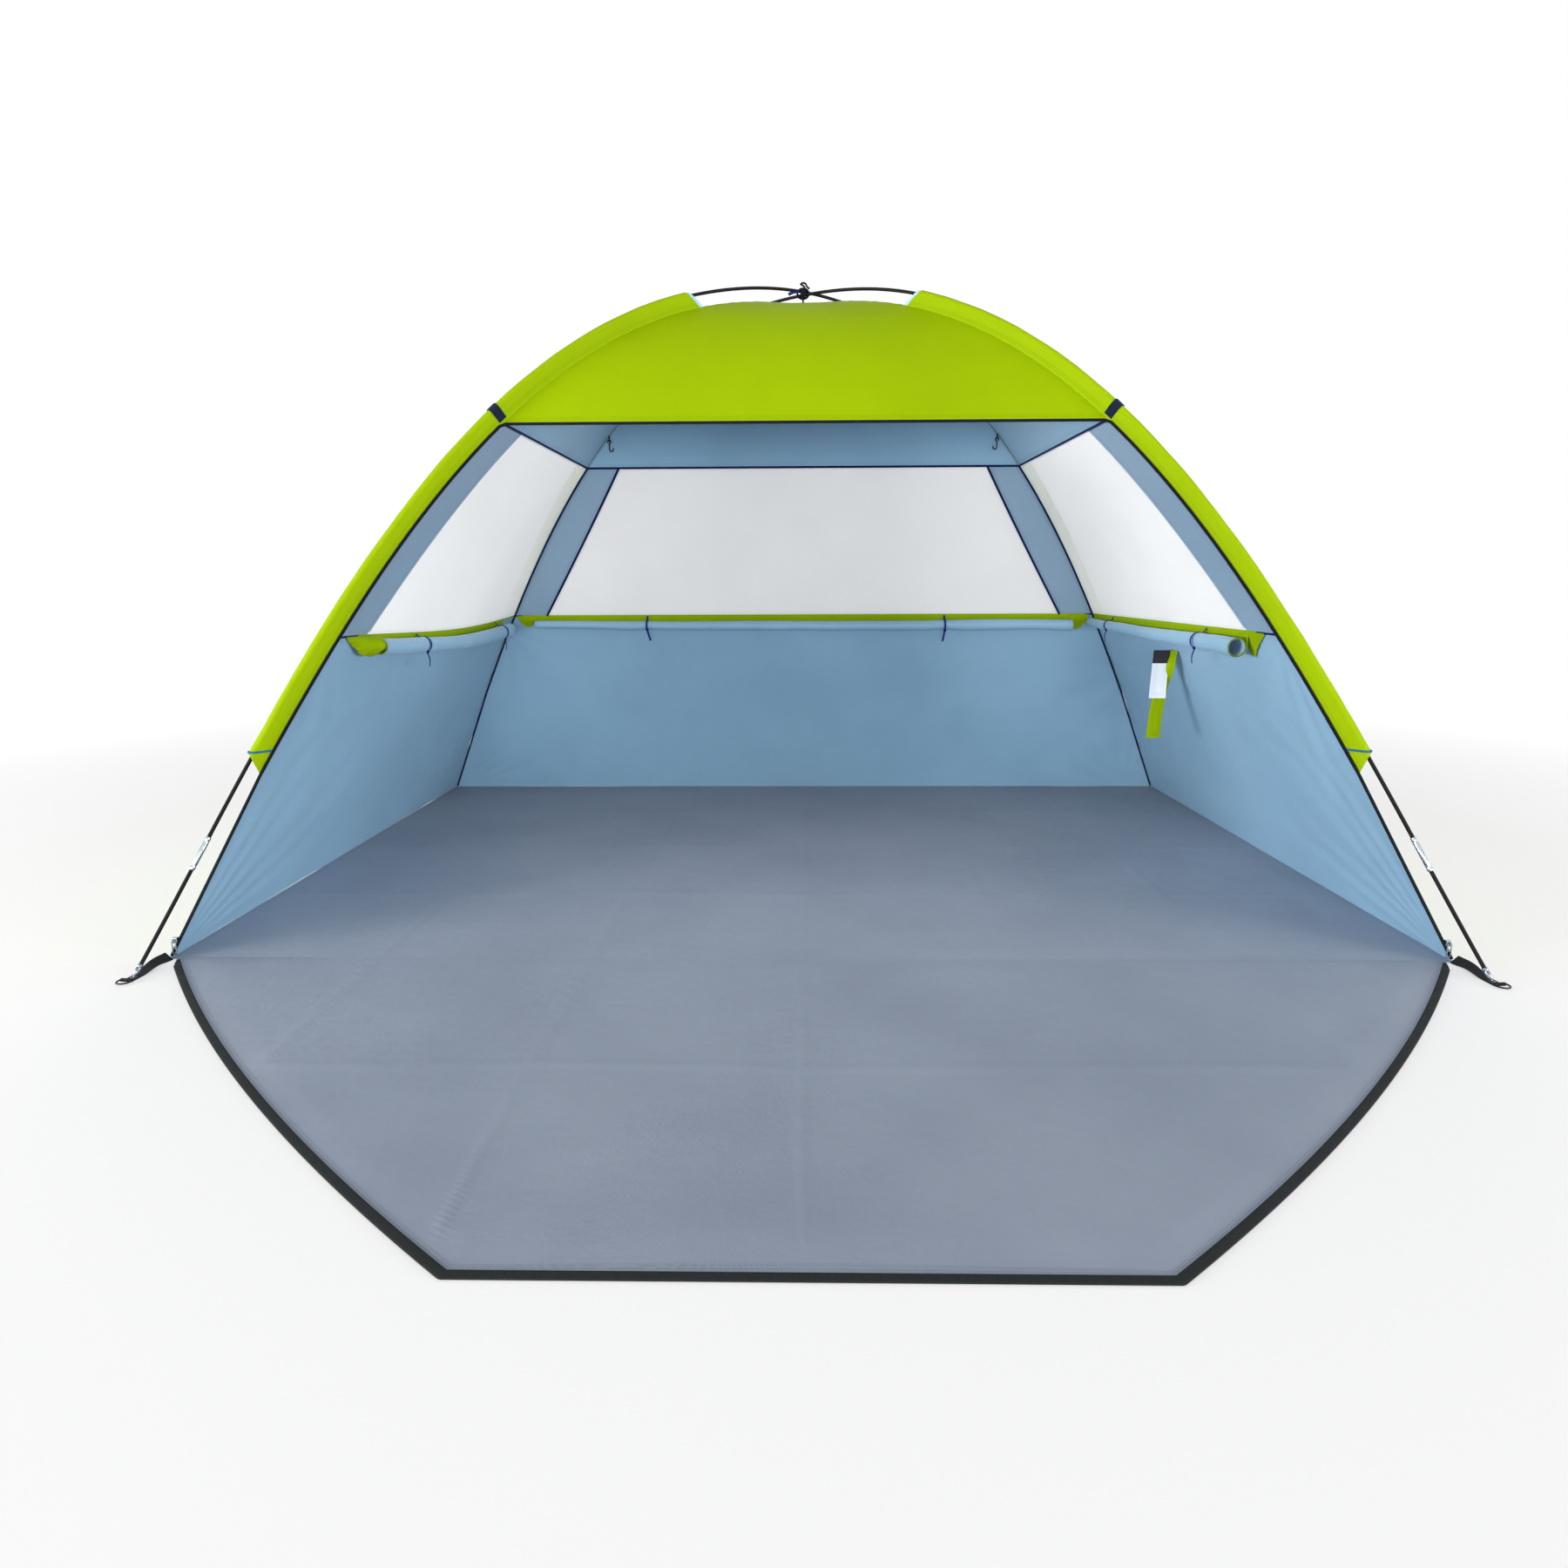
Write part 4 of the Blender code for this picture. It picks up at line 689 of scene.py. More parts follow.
def build_roof(rings=64, across=56):
    """One curved sheet of four faces, closed round its ridges and at its peak."""
    steps = np.arange(len(SKIN_HEIGHTS))
    heights = np.interp(np.linspace(np.interp(HEAD, SKIN_HEIGHTS, steps), steps[-1], rings), steps, SKIN_HEIGHTS)
    heights[-1] = np.interp(steps[-1] - 0.6, steps, SKIN_HEIGHTS)
    heights = heights[:, None]
    turn, step = np.divmod(np.arange(4 * across), across)
    a = 2 * step / across - 1
    x, y = np.choose(turn, (a, 1.0, -a, -1.0)), np.choose(turn, (-1.0, a, 1.0, -a))
    points = line(x * half_width(heights), y * half_depth(heights), heights)
    up = np.linspace(0, 1, rings)[:, None]
    sag = 0.010 * (1 - a * a) * np.sin(math.pi * np.minimum(1, up * 1.04)) ** 0.8
    wrapped = np.concatenate((points[:, -1:], points, points[:, :1]), axis=1)
    normals = surface_normals(wrapped)[:, 1:-1]
    normals *= np.where(normals[:, :, 2:3] < 0, -1, 1)
    normals[-1] = (0, 0, 1)
    u, hem = lengths_along(points, 1), lengths_along(points, 0)
    ridge = (1 - np.abs(a)) * np.linalg.norm(points[:, :, :2], axis=2)
    wrinkle = 0.0022 * cloth_noise(points[:, :, 0] * 4 + 9, points[:, :, 1] * 4 + 3, 7)
    pucker = 0.0005 * np.exp(-ridge / 0.015) * np.sin(hem * math.tau / 0.032)
    pucker += 0.0004 * np.exp(-hem / 0.012) * np.sin(u * math.tau / 0.034)
    hold = np.clip(np.minimum(ridge, hem) / 0.08, 0, 1)
    moved = points + normals * (hold * wrinkle + pucker - sag + CLOTH_PLACE)[:, :, None]
    count = rings * 4 * across
    index = np.arange(count).reshape(rings, 4 * across)
    after = np.roll(index, -1, axis=1)
    quads = np.stack((index[:-1], after[:-1], after[1:], index[1:]), axis=-1).reshape(-1, 4)
    rim = np.stack((index[0], index[0] + count, after[0] + count, after[0]), axis=-1)
    faces = np.concatenate((quads, quads[:, ::-1] + count, rim)).tolist()
    faces += [index[-1].tolist(), (index[-1, ::-1] + count).tolist()]
    kinds = np.repeat((0, 1, 0, 1), (len(quads), len(quads), len(rim) + 1, 1))
    made = add_shell("roof_cloth", moved, normals * CLOTH / 2, faces, kinds, u, hem, np.minimum(hem, 1.0),
                     [GREEN, LINING], "tent", angle=35)
    declare_sheet(made, "canopy_green",
                  "canopy_roof")


# Sleeves and tabs

def sleeve_section(bore, tail_depth, tail_half):
    """Distances outwards and sideways from the pole: up one side of the tail, over the pole and down again."""
    t = np.arange(9) / 9
    tail = np.stack((between((-tail_depth, bore * math.cos(SLEEVE_WRAP)), t),
                     between((tail_half, bore * math.sin(SLEEVE_WRAP)), ease(t))))
    angle = spread(-SLEEVE_WRAP, 21)
    over = bore * np.stack((np.cos(angle), np.sin(angle)))
    return np.concatenate((tail, over, tail[:, ::-1] * ((1,), (-1,))), axis=1)


def sleeve_points(corner, start, end, slant, bore, tail_depth, tail_half, rows):
    outwards, across = corner_axes(*CORNERS[corner])
    out, sideways = sleeve_section(bore, tail_depth, tail_half)
    depth = (bore - out) / (bore + tail_depth)
    length = between((start - slant * depth, end + slant * depth), np.linspace(0, 1, rows)[:, None])
    (radius, height), (run, rise) = arch_at(length), arch_tangent(length)
    points = outwards * (radius + rise * out)[..., None] + across * sideways[:, None]
    points[..., 2] = height - run * out
    return points


def build_level_hem(corner):
    """Narrow hem that runs level round the sleeve, just above its lower end."""
    outwards, across = corner_axes(*CORNERS[corner])
    bore = SLEEVE_BORE + 0.0030
    lengths = np.linspace(0.05, 1.0, 500)
    arch = np.concatenate((arch_at(lengths), arch_tangent(lengths)))
    level = np.interp(SLEEVE_START + 0.001, lengths, arch[1] - arch[2] * bore)
    path, ups = [], []
    for out, sideways in sleeve_section(bore, SLEEVE_DEPTH - 0.0010, 0.0030).T:
        radius, height, run, rise = [np.interp(level, arch[1] - arch[2] * out, row) for row in arch]
        path.append(outwards * (radius + rise * out) + across * sideways + (0, 0, height - run * out))
        ups.append(outwards * max(out, 0) + across * sideways)
    hem = sweep(corner + "_sleeve_hem", path, 0.0022, 0.0005, SLEEVE_HEM, up=ups, power=TAPE_POWER, segments=10)
    return dress(hem, "navy_trim")


def sleeve_relief(k):
    def relief(u, v, seam):
        drift = 0.0009 * cloth_noise(u * 40 + 5, v * 16, 130 + k)
        pucker = 0.0006 * np.sin(v * math.tau / 0.026 + 2 * soft_noise(v * 20, u * 0, 140 + k))
        return (0.0003 + np.clip(seam / 0.012, 0, 1) * np.maximum(drift, -0.0006)
                + np.maximum(pucker * np.exp(-seam / 0.008), -0.0004))
    return relief


def build_sleeves():
    for k, corner in enumerate(CORNERS):
        grow = corner_axes(*CORNERS[corner])[0] + (0, 0, 1)
        points = sleeve_points(corner, SLEEVE_START, MOUTH_LENGTH, SLEEVE_SLANT, SLEEVE_BORE + 0.0009,
                               SLEEVE_DEPTH + 0.0010, 0.0009, 190)
        made, area = cloth_sheet(corner + "_sleeve_cloth", points, CLOTH, grow, [GREEN, PALE], "tent",
                                 sleeve_relief(k), (1, 1, 0, 0))
        points = sleeve_points(corner, MOUTH_LENGTH - 0.030, MOUTH_LENGTH + 0.008, SLEEVE_SLANT,
                               SLEEVE_BORE - 0.0004, SLEEVE_DEPTH - 0.0006, 0.0004, 14)
        lip, _ = cloth_sheet(corner + "_mouth_lip", points, 0.0006, grow, [PALE, PALE], "tent")
        dress(lip, "wall_cloth")
        declare_sheet(made, "canopy_green", corner + "_sleeve",
                      [lip, build_level_hem(corner)])
    for corner in ("front_left", "front_right"):
        grow = corner_axes(*CORNERS[corner])[0] + (0, 0, 1)
        points = sleeve_points(corner, TAB_START, TAB_START + TAB_WIDTH, 0, SLEEVE_BORE + 0.0031,
                               SLEEVE_DEPTH - 0.0040, 0.0030, 10)
        made, _ = cloth_sheet(corner + "_tab_tape", points, 0.0012, grow, [TAB_TAPE, TAB_TAPE], "tent")
        dress(made, "navy_trim", corner + "_tab")


# Bindings on the seams

def bind(name, path, half_w, half_t, cloth, up):
    sweep(name, path, half_w, half_t, cloth, up=up, power=TAPE_POWER)


def build_bindings():
    sill, head = (half_width(SILL), half_depth(SILL)), (half_width(HEAD), half_depth(HEAD))
    for name, side in (("left", -1), ("right", 1)):
        h = np.linspace(0.004, HEAD - 0.002, 90)
        bind(name + "_rear_seam", line(side * (half_width(h) - 0.0033), half_depth(h) - 0.0033, h), 0.0030,
             0.0009, NAVY, (-side, -1, 0))
        h = np.linspace(SILL - 0.002, HEAD, 50)
        bind(name + "_rear_strip_seam", line(side * (rear_strip_edge(h) + 0.001), half_depth(h) - 0.0006, h),
             0.0034, 0.0008, NAVY, (0, -1, 0))
        bind(name + "_head_seam", line(side * (head[0] - 0.0012), spread(head[1] - 0.002, 40), HEAD - 0.001),
             0.0008, 0.0028, NAVY, (0, 0, 1))
        path = dipped(side, side * (sill[0] - 0.0006), spread(sill[1] - 0.003, 60), SILL)
        front = (path[:, 1] < 0.072 - sill[1]).sum()
        for part, points, cloth in (("", path[front:], GREEN), ("_front", path[:front + 1], NAVY)):
            bind(name + "_sill_seam" + part, points, 0.0007, 0.0022, cloth, (0, 0, 1))
        h = np.linspace(SILL + 0.008, HEAD, 50)
        bind(name + "_front_strip_seam", on_side(side)(front_strip_edge(h), h) - (side * 0.0004, 0, 0), 0.0016,
             0.0006, STRIP, (-side, 0, 0))
    bind("rear_head_seam", line(spread(head[0] - 0.003, 60), head[1] - 0.0012, HEAD - 0.001), 0.0008, 0.0030,
         NAVY, (0, 0, 1))
    path = line(spread(sill[0] - 0.003, 80), sill[1] - 0.0006, SILL)
    end = (path[:, 0] < 0.020 - sill[0]).sum()
    for part, points, cloth in (("", path[end:-end], GREEN), ("_left", path[:end + 1], NAVY),
                                ("_right", path[-end - 1:], NAVY)):
        bind("rear_sill_seam" + part, points, 0.0007, 0.0022, cloth, (0, 0, 1))
    h = np.linspace(HEAD + 0.004, APEX - 0.004, 60)
    for corner, (side, end) in CORNERS.items():
        path = line(0.9965 * side * half_width(h), 0.9965 * end * half_depth(h), h - 0.0012)
        bind(corner + "_roof_seam", path, 0.0018, 0.0006, STRIP, (0, 0, -1))


def build_piping():
    """The bound edge of the opening: up the left ridge, along the visor and down the right ridge."""
    h = np.linspace(0.008, HEAD - 0.007, 124)
    left = line(-half_width(h), -half_depth(h), h) + corner_axes(-1, -1)[1] * 0.0038
    visor = line(spread(half_width(HEAD) - 0.008, 80), -half_depth(HEAD) - 0.0016, HEAD - 0.0018)
    path = np.concatenate((left, visor, left[::-1] * (-1, 1, 1)))
    made = sweep("opening_binding", path, 0.0030, 0.0021, BLACK_BINDING, up=(0, -1, 0.35), power=0.75)
    dress(made, "navy_trim", "opening_piping")


# Ground cloth: floor and porch in one flat sheet, with close rows near the hinge. A point of the porch is its x
# and its distance forwards from the hinge

def porch_handles():
    start, end = np.array((HALF_WIDTH - PORCH_SIDE_CLEARANCE, 0)), np.array((PORCH_END_WIDTH / 2, PORCH_REACH))
    run, rise = (end - start) / np.linalg.norm(end - start)
    return start, (start + end) / 2 + 2 * PORCH_BULGE * np.array((rise, -run)), end


PORCH_HANDLES = porch_handles()
PORCH_LINE = bezier(PORCH_HANDLES, np.linspace(0, 1, 201))


def build_ground():
    near_hinge = (0.0, 0.002, 0.004, 0.007, 0.010, 0.014, 0.018, 0.022, 0.027)
    forwards = np.concatenate((near_hinge, np.linspace(0.035, PORCH_REACH, 80)))
    y = np.concatenate((np.linspace(HALF_DEPTH + 0.0006, -HALF_DEPTH + 0.001, 120),
                        -HALF_DEPTH - SEAM_GAP - forwards))
    porch = np.interp(-HALF_DEPTH - SEAM_GAP - y, PORCH_LINE[:, 1], PORCH_LINE[:, 0])
    reach = np.where(y > -HALF_DEPTH, HALF_WIDTH + 0.0006, porch)
    points = line(spread(1, 200) * reach[:, None], y[:, None], 0.0010)
    x, y = points[:, :, 0], points[:, :, 1]

    def relief(u, v, seam):
        """Drift and fold lines, held flat at the edges and at the hinge."""
        moved = 0.0016 * (cloth_noise(x * 2.6 + 4, y * 2.6 + 9, 201) + 0.6)
        for across, along, folds, seed in ((x, y, (-0.8, -0.4, 0.0, 0.4, 0.8), 205),
                                           (y, x, (0.38, 0.0, -0.38, -1.14), 206)):
            for fold in folds:
                wander = 0.01 * soft_noise(along * 3, across * 0, seed)
                moved = moved + 0.0009 * np.exp(-((across - fold - wander) / 0.006) ** 2)
        hinge = np.clip(np.abs(v - FLOOR_DEPTH) / 0.05, 0, 1)
        return np.clip(seam / 0.06, 0, 1) * hinge * np.maximum(moved, 0)

    return cloth_sheet("ground_cloth", points, 0.0008, (0, 0, 1), [GROUND, GROUND], "tent", relief)


def porch_path(offset):
    """The porch's free edge from its right root to its left, moved outwards by offset."""
    share = np.linspace(BAND_FIRST, 1, 70)
    ahead, behind = [bezier(PORCH_HANDLES, np.clip(share + step, 0, 1)) for step in (0.01, -0.01)]
    run, rise = (ahead - behind).T / np.linalg.norm(ahead - behind, axis=1)
    right = bezier(PORCH_HANDLES, share) + offset * np.stack((rise, -run), axis=-1)
    angle = np.linspace(math.atan2(-run[-1], rise[-1]), math.pi / 2, 9)[1:]
    rounded = PORCH_HANDLES[-1] + offset * np.stack((np.cos(angle), np.sin(angle)), axis=-1)
    right = np.concatenate((right, rounded))
    x = np.concatenate((right[:, 0], spread(-right[-1, 0], 60)[1:-1], -right[::-1, 0]))
    forwards = np.concatenate((right[:, 1], np.full(58, right[-1, 1]), right[::-1, 1]))
    return line(x, -HALF_DEPTH - SEAM_GAP - forwards, 0.0016)


def build_band():
    inner, outer = porch_path(-BAND_OVERLAP), porch_path(BAND_REACH)
    lengths = path_lengths(inner)
    ends = np.minimum(lengths, lengths[-1] - lengths)
    reach = between((BAND_START_REACH, BAND_REACH), np.clip(ends / BAND_WIDENS_OVER, 0, 1))
    half = (outer - inner) * ((reach + BAND_OVERLAP) / (BAND_REACH + BAND_OVERLAP))[:, None] / 2
    made = sweep("porch_binding", inner + half, np.linalg.norm(half, axis=1), 0.0014, BAND, "porch",
                 up=(0, 0, 1), power=0.55, segments=20)
    dress(made, "black_webbing", "porch_band")


# Poles

def foot_splay(outwards, length):
    share = max(0, 1 - length / SPLAY_REACH) ** 1.5
    return np.sign(outwards) * (-SPLAY_INWARDS, SPLAY_FORWARDS, 0) * share


def pole_place(direction, lift, length):
    """Point of a pole at a length from its front foot."""
    if length > HALF_ARCH:
        direction, length = -direction, 2 * HALF_ARCH - length
    radius, height = arch_at(length)
    height += lift * (1 + math.cos(math.pi * min(1, radius / MOUTH_RADIUS))) / 2
    return direction * radius + foot_splay(direction, length) + (0, 0, height)


def build_poles():
    start, whole = FERRULE_PLACE + TOUCH_GAP / 2, 2 * HALF_ARCH
    half = np.array(FERRULE_STOPS)
    ferrule = np.concatenate((half * (-1, 1), half[::-1]))
    tip = np.array(TIP_STOPS)
    for pole, side, lift in (("pole_a", -1, STACK_LIFT), ("pole_b", 1, -STACK_LIFT)):
        direction, _ = corner_axes(side, -1)

        def tube(name, lengths, radii, material, slot, segments, *nodes):
            path = [pole_place(direction, lift, length) for length in lengths]
            dress(sweep(name, path, radii, radii, material, segments=segments), slot, *nodes)

        tube(pole + "_main_tube", np.linspace(start, whole - start, 260), POLE_RADIUS, POLE, "black_pole", 20,
             pole + "_main_rod")
        for end, base, way in (("front", 0, 1), ("rear", whole, -1)):
            name = f"{pole}_{end}"
            lengths = np.linspace(TIP_LENGTH - 0.002, start - TOUCH_GAP, 30)
            tube(name + "_tube", base + way * lengths, POLE_RADIUS, POLE, "black_pole", 20, name + "_rod")
            tube(name + "_tip", base + way * tip[:, 0], tip[:, 1], TIP_STEEL, "steel", 24)
            tube(name + "_ferrule_tube", base + way * (FERRULE_PLACE + ferrule[:, 0]), ferrule[:, 1], STEEL,
                 "steel", 28, name + "_ferrule")


# Corner anchors

def build_anchors():
    for corner, (side, end) in CORNERS.items():
        radial, _ = corner_axes(side, end)
        corner_at = np.array((side * HALF_WIDTH, end * HALF_DEPTH, 0))
        away = radial * FOOT_RADIUS + foot_splay(radial, 0) - corner_at
        reach = float(np.linalg.norm(away))
        away = away / reach
        across = np.array((-away[1], away[0], 0))

        def spot(out, sideways, height):
            """Points by their distances along and across the strap and up."""
            flat = corner_at + away * np.asarray(out)[..., None] + across * np.asarray(sideways)[..., None]
            return flat + (0, 0, 1) * np.asarray(height)[..., None]

        curl_at, flat = reach + 0.016, reach - 0.0066
        share, rest = np.linspace(0, 1, 24), np.linspace(0, 1, 10)[1:]
        angle = np.radians(np.linspace(-90, 165, 28))
        out = np.concatenate((between((TOUCH_GAP, flat), share), flat + 0.0132 * rest,
                              curl_at + CURL_RADIUS * np.cos(angle)))[:, None]
        height = np.concatenate((0.004 * np.sin(math.pi * share) ** 2, 0 * rest,
                                 CURL_RADIUS * (1 + np.sin(angle))))[:, None]
        turned = math.radians(41) * ease(np.maximum(0, 1 - out / (reach - 0.012)))
        sideways = spread(WEB_WIDTH / 2, 9)
        outer_side = side * math.copysign(1, across[0])
        points = spot(out, sideways * np.cos(turned),
                      height + (WEB_WIDTH / 2 + outer_side * sideways) * np.sin(turned))
        made, _ = cloth_sheet(corner + "_strap", points, WEB_THICKNESS, (0, 0, 1), [WEBBING, WEBBING], "tent",
                              None, (0, 0, 0, 0), WEB_THICKNESS / 2)
        dress(made, "black_webbing", corner + "_web")
        a = np.linspace(0, math.tau, 40, endpoint=False)
        ring = spot(reach + 0.0046 * np.cos(a), 0.0046 * np.sin(a), WEB_THICKNESS + 0.0004)
        grommet = sweep(corner + "_grommet", ring, 0.0014, 0.0005, TIP_STEEL, up=(0, 0, 1), closed=True,
                        segments=12)
        dress(grommet, "steel")
        half = WEB_WIDTH / 2 + RING_WIRE + 0.0005
        a = np.radians(np.linspace(90, -90, 40))
        out = np.concatenate((np.zeros(14), RING_REACH - half + half * np.cos(a)))
        ring = spot(curl_at + out, np.concatenate((spread(half, 14), half * np.sin(a))), CURL_RADIUS)
        made = sweep(corner + "_peg_ring", ring, RING_WIRE, RING_WIRE, PLASTIC, corner + "_ring_body",
                     up=(0, 0, 1), closed=True, segments=12)
        dress(made, "black_plastic", corner + "_ring")


# Window covers

def build_roll(name, side, inwards, sill, radii, shows, used, ties, droop, seed):
    """The rolled cloth.

    radii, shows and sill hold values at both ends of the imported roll, and used the shares that are made.
    """
    share = np.linspace(*used, 170)[:, None]
    pinch = np.minimum(1, sum(np.exp(-((share - tie) / 0.012) ** 2) for tie in ties))
    sag = droop * np.sin(math.pi * np.clip(share, 0, 1)) ** 2 * (1 - 0.6 * pinch)
    size0 = (between(radii, share) + 0.0012 * soft_noise(share * 16 + 20, 0.3, seed)) * (1 - 0.13 * pinch)
    show = between(shows, share) + sag + 0.0022 * soft_noise(share * 7 + 9, 0.6, seed + 9)
    turned_by = np.arange(int(30 * COVER_TURNS) + 1) / 30
    size = size0 - COVER_PITCH * turned_by + 0.0004 * soft_noise(share * 40 + 50, turned_by * 6, seed + 4)
    angle = math.pi + math.tau * turned_by
    near, fall = SEAM_GAP + 0.0004, np.linspace(0, 1, 8)[:-1]
    inward = np.concatenate((near + 0 * show * fall, near + size0 + size * np.cos(angle)), axis=1)
    down = np.concatenate((show * fall, show + size0 - size * np.sin(angle)), axis=1)
    x, y = between(sill, share).T[:, :, None]
    points = dipped(side, x + inwards[0] * inward, y + inwards[1] * inward, SILL - SEAM_GAP - down)
    made, area = cloth_sheet(name + "_roll", points, CLOTH, (0, 0, 1), [GREEN, LINING], name + "_body")
    columns = points.shape[1] - 1
    for face in made.data.polygons[:2 * (len(points) - 1) * columns]:
        face.material_index = 1 if face.index // 2 % columns > 12 else 0
    return made, area, float(np.linalg.norm(points[0, 0] - points[-1, 0]))


def build_flap(name, profile, at, side, inwards, body, bulge, seed):
    """The end of a cover that hangs out of its roll. profile holds places along the sill with depths."""
    profile = np.array(profile)
    place = np.linspace(profile[0, 0], profile[-1, 0], 64)[:, None]
    depth = np.interp(place, *profile[np.argsort(profile[:, 0])].T)
    part, share = np.linspace(0, 1, 64)[:, None], np.linspace(0, 1, 26)
    swell = bulge * np.minimum(1, depth / 0.035) * np.sin(math.pi * np.minimum(1, share * 0.80 + 0.02)) ** 0.8
    fold = 0.0032 * np.minimum(1, depth / 0.02) * soft_noise(place * 90 + 70 + share * 1.6, share * 2, seed)
    fold = share * (fold + 0.0010 * soft_noise(place * 260 + 90, share * 7, seed + 3))
    ragged = 0.0022 * share * soft_noise(place * 170 + 80, 0.5, seed + 5)
    z = SILL - SEAM_GAP - np.maximum(0.0006, depth + ragged) * share
    half_at = half_width if inwards[0] else half_depth
    inward = (0.0034 + swell * part ** 1.3 + np.abs(fold) * min(1, 0.25 + bulge * 60)
              - (half_at(z) - half_at(SILL)))
    x, y = at(place)
    points = dipped(side, x + inwards[0] * inward, y + inwards[1] * inward, z)
    made, _ = cloth_sheet(name, points, CLOTH, (*inwards, 0), [GREEN, GREEN], body, None, (0, 0, 0, 0))
    return dress(made, "wall_cloth")


def build_tie(name, body, side, inwards, at, radius, show, lean):
    """Flat tape from the sill over the roll and under it, with a knot and a tail that hangs."""
    def spot(inward, along, down):
        return dipped(side, at[0] + inwards[0] * inward + along * inwards[1] ** 2,
                      at[1] + inwards[1] * inward + along * inwards[0] ** 2, SILL - SEAM_GAP - down)

    wrap = radius * 0.87 + 0.0022
    angle, tail = np.radians(np.linspace(112, -70, 17)), np.linspace(0, 1, 8)[1:]
    inward = SEAM_GAP + radius + wrap * np.cos(angle)
    down = show + radius - wrap * np.sin(angle)
    knot_in, knot_down = inward[-1] + 0.0012, down[-1]
    inward = np.concatenate(((SEAM_GAP + 0.0034, 0.0054), inward, inward[-1] + 0.0030 * np.sin(math.pi * tail)))
    down = np.concatenate(((0.0012, show * 0.5), down, down[-1] + 0.034 * tail))
    path = smooth_path(spot(inward, lean * np.maximum(0, np.arange(26) - 18) / 7, down), 3)
    tie = sweep(name + "_tape", path, 0.0029, 0.0008, NAVY_CORD, body, up=(*inwards, 0.35), power=TAPE_POWER,
                segments=12)
    dress(tie, "navy_trim", name)
    turns = np.array(((0.000, -0.0044, 0.0016), (0.0024, 0.0, 0.0026), (0.0010, 0.0044, -0.0004),
                      (-0.0006, 0.0, -0.0034), (0.0026, -0.0030, -0.0010))).T
    lump = smooth_path(spot(knot_in + turns[0], turns[1], knot_down - turns[2]), 5)
    knot = dress(sweep(name + "_knot", lump, 0.0017, 0.0013, NAVY_CORD, body, segments=10), "navy_trim")


def build_covers():
    x, y = half_width(SILL), half_depth(SILL)
    rear_left = ((0.008, 0.004), (0.020, 0.020), (0.036, 0.035), (0.054, 0.030), (0.074, 0.014))
    rear_right = ((0.014, 0.008), (0.026, 0.030), (0.046, 0.047), (0.062, 0.040), (0.074, 0.016))
    left_front = ((-0.538, 0.003), (-0.505, 0.018), (-0.465, 0.040), (-0.435, 0.043), (-0.418, 0.037),
                  (-0.408, 0.024))
    right_front = ((-0.520, 0.003), (-0.480, 0.024), (-0.440, 0.050), (-0.430, 0.049), (-0.426, 0.030),
                   (-0.415, 0.018))
    plans = (
        ("rear", 0, (0, -1), ((0.070 - x, y), (x - 0.070, y)), (0.0132, 0.0178), (0.0135, 0.0135), (0.0, 1.0),
         (0.21, 0.765), 0.002, 301, lambda p: (p, y),
         (("left_end", [(p - x, d) for p, d in rear_left], 0.014, 341),
          ("right_end", [(x - p, d) for p, d in rear_right], 0.016, 343))),
        ("left", -1, (1, 0), ((-x, 0.075 - y), (-x, y - 0.110)), (0.0182, 0.0205), (0.004, 0.009), (0.066, 1.0),
         (0.317, 0.928), 0.004, 311, lambda p: (-x, p), (("front_end", left_front, 0.046, 345),)),
        ("right", 1, (-1, 0), ((x, 0.070 - y), (x, y - 0.015)), (0.0202, 0.0130), (0.0095, 0.0095), (0.040, 1.0),
         (0.223, 0.823), 0.003, 321, lambda p: (x, p), (("front_end", right_front, 0.003, 347),)),
    )
    for wall, side, inwards, sill, radii, shows, used, ties, droop, seed, at, ends in plans:
        name, sill = wall + "_cover", np.array(sill)
        body = name + "_body"
        made, area, length = build_roll(name, side, inwards, sill, radii, shows, used, ties, droop, seed)
        flaps = [build_flap(f"{name}_{end}", profile, at, side, inwards, body, bulge, flap_seed)
                 for end, profile, bulge, flap_seed in ends]
        declare_sheet(made, "wall_cloth", name, flaps)
        for i, share in enumerate(ties):
            show = between(shows, share) + droop * math.sin(math.pi * share) ** 2 * 0.4
            lean = -0.006 if (wall, i) == ("rear", 1) else 0.010
            build_tie(f"{name}_tie_{i + 1}", body, side, inwards, between(sill, share),
                      between(radii, share), show, lean)


# Label and strap: u runs across from 0 to 1, v down

def build_hangings():
    top = SILL - 0.072
    wall = half_width(top + 0.0012) - TOUCH_GAP
    u, v = np.linspace(0, 1, 14), np.linspace(0, 1, 60)[:, None]
    bow = 4 * (u - 0.5) ** 2 * v

    lying = ease(np.minimum(1, v / 0.42))
    turn, off = math.radians(85) * (1 - lying), (u - 0.5) * 0.035
    curl = -0.0026 * (1 - np.cos(4.2 * v)) * v - 0.0016 * bow
    points = line(wall - 0.0018 - 0.0262 * v * (2 - v) + off * np.cos(turn),
                  0.009 + 0.0195 * lying - off * np.sin(turn) - curl * lying, top - 0.228 * v)
    made, area = cloth_sheet("strap_tape", points, 0.0009, (0, -1, 0), [GREEN, GREEN], "strap", None,
                             (1, 1, 0, 1))
    declare_sheet(made, "canopy_green", "cover_strap")

    curl = 0.0014 * np.sin(5 * v + 2 * u) * v + 0.0012 * bow
    points = line(wall - 0.007 - 0.042 * (1 - u) - 0.0045 * v, 0.0225 - 0.00525 * v * v - 0.0006 - curl,
                  top - 0.122 * v)
    header, _ = cloth_sheet("label_header_patch", points[:17] - (0, 0.0007, 0), 0.0004, (0, -1, 0),
                            [HEADER, HEADER], "label")
    dress(header, "black_webbing")
    made, area = cloth_sheet("label_tape", points, 0.0005, (0, -1, 0), [LABEL, LABEL], "label")
    declare_sheet(made, "label_white", "care_label")


# Hooks, loops and the cord at the crossing

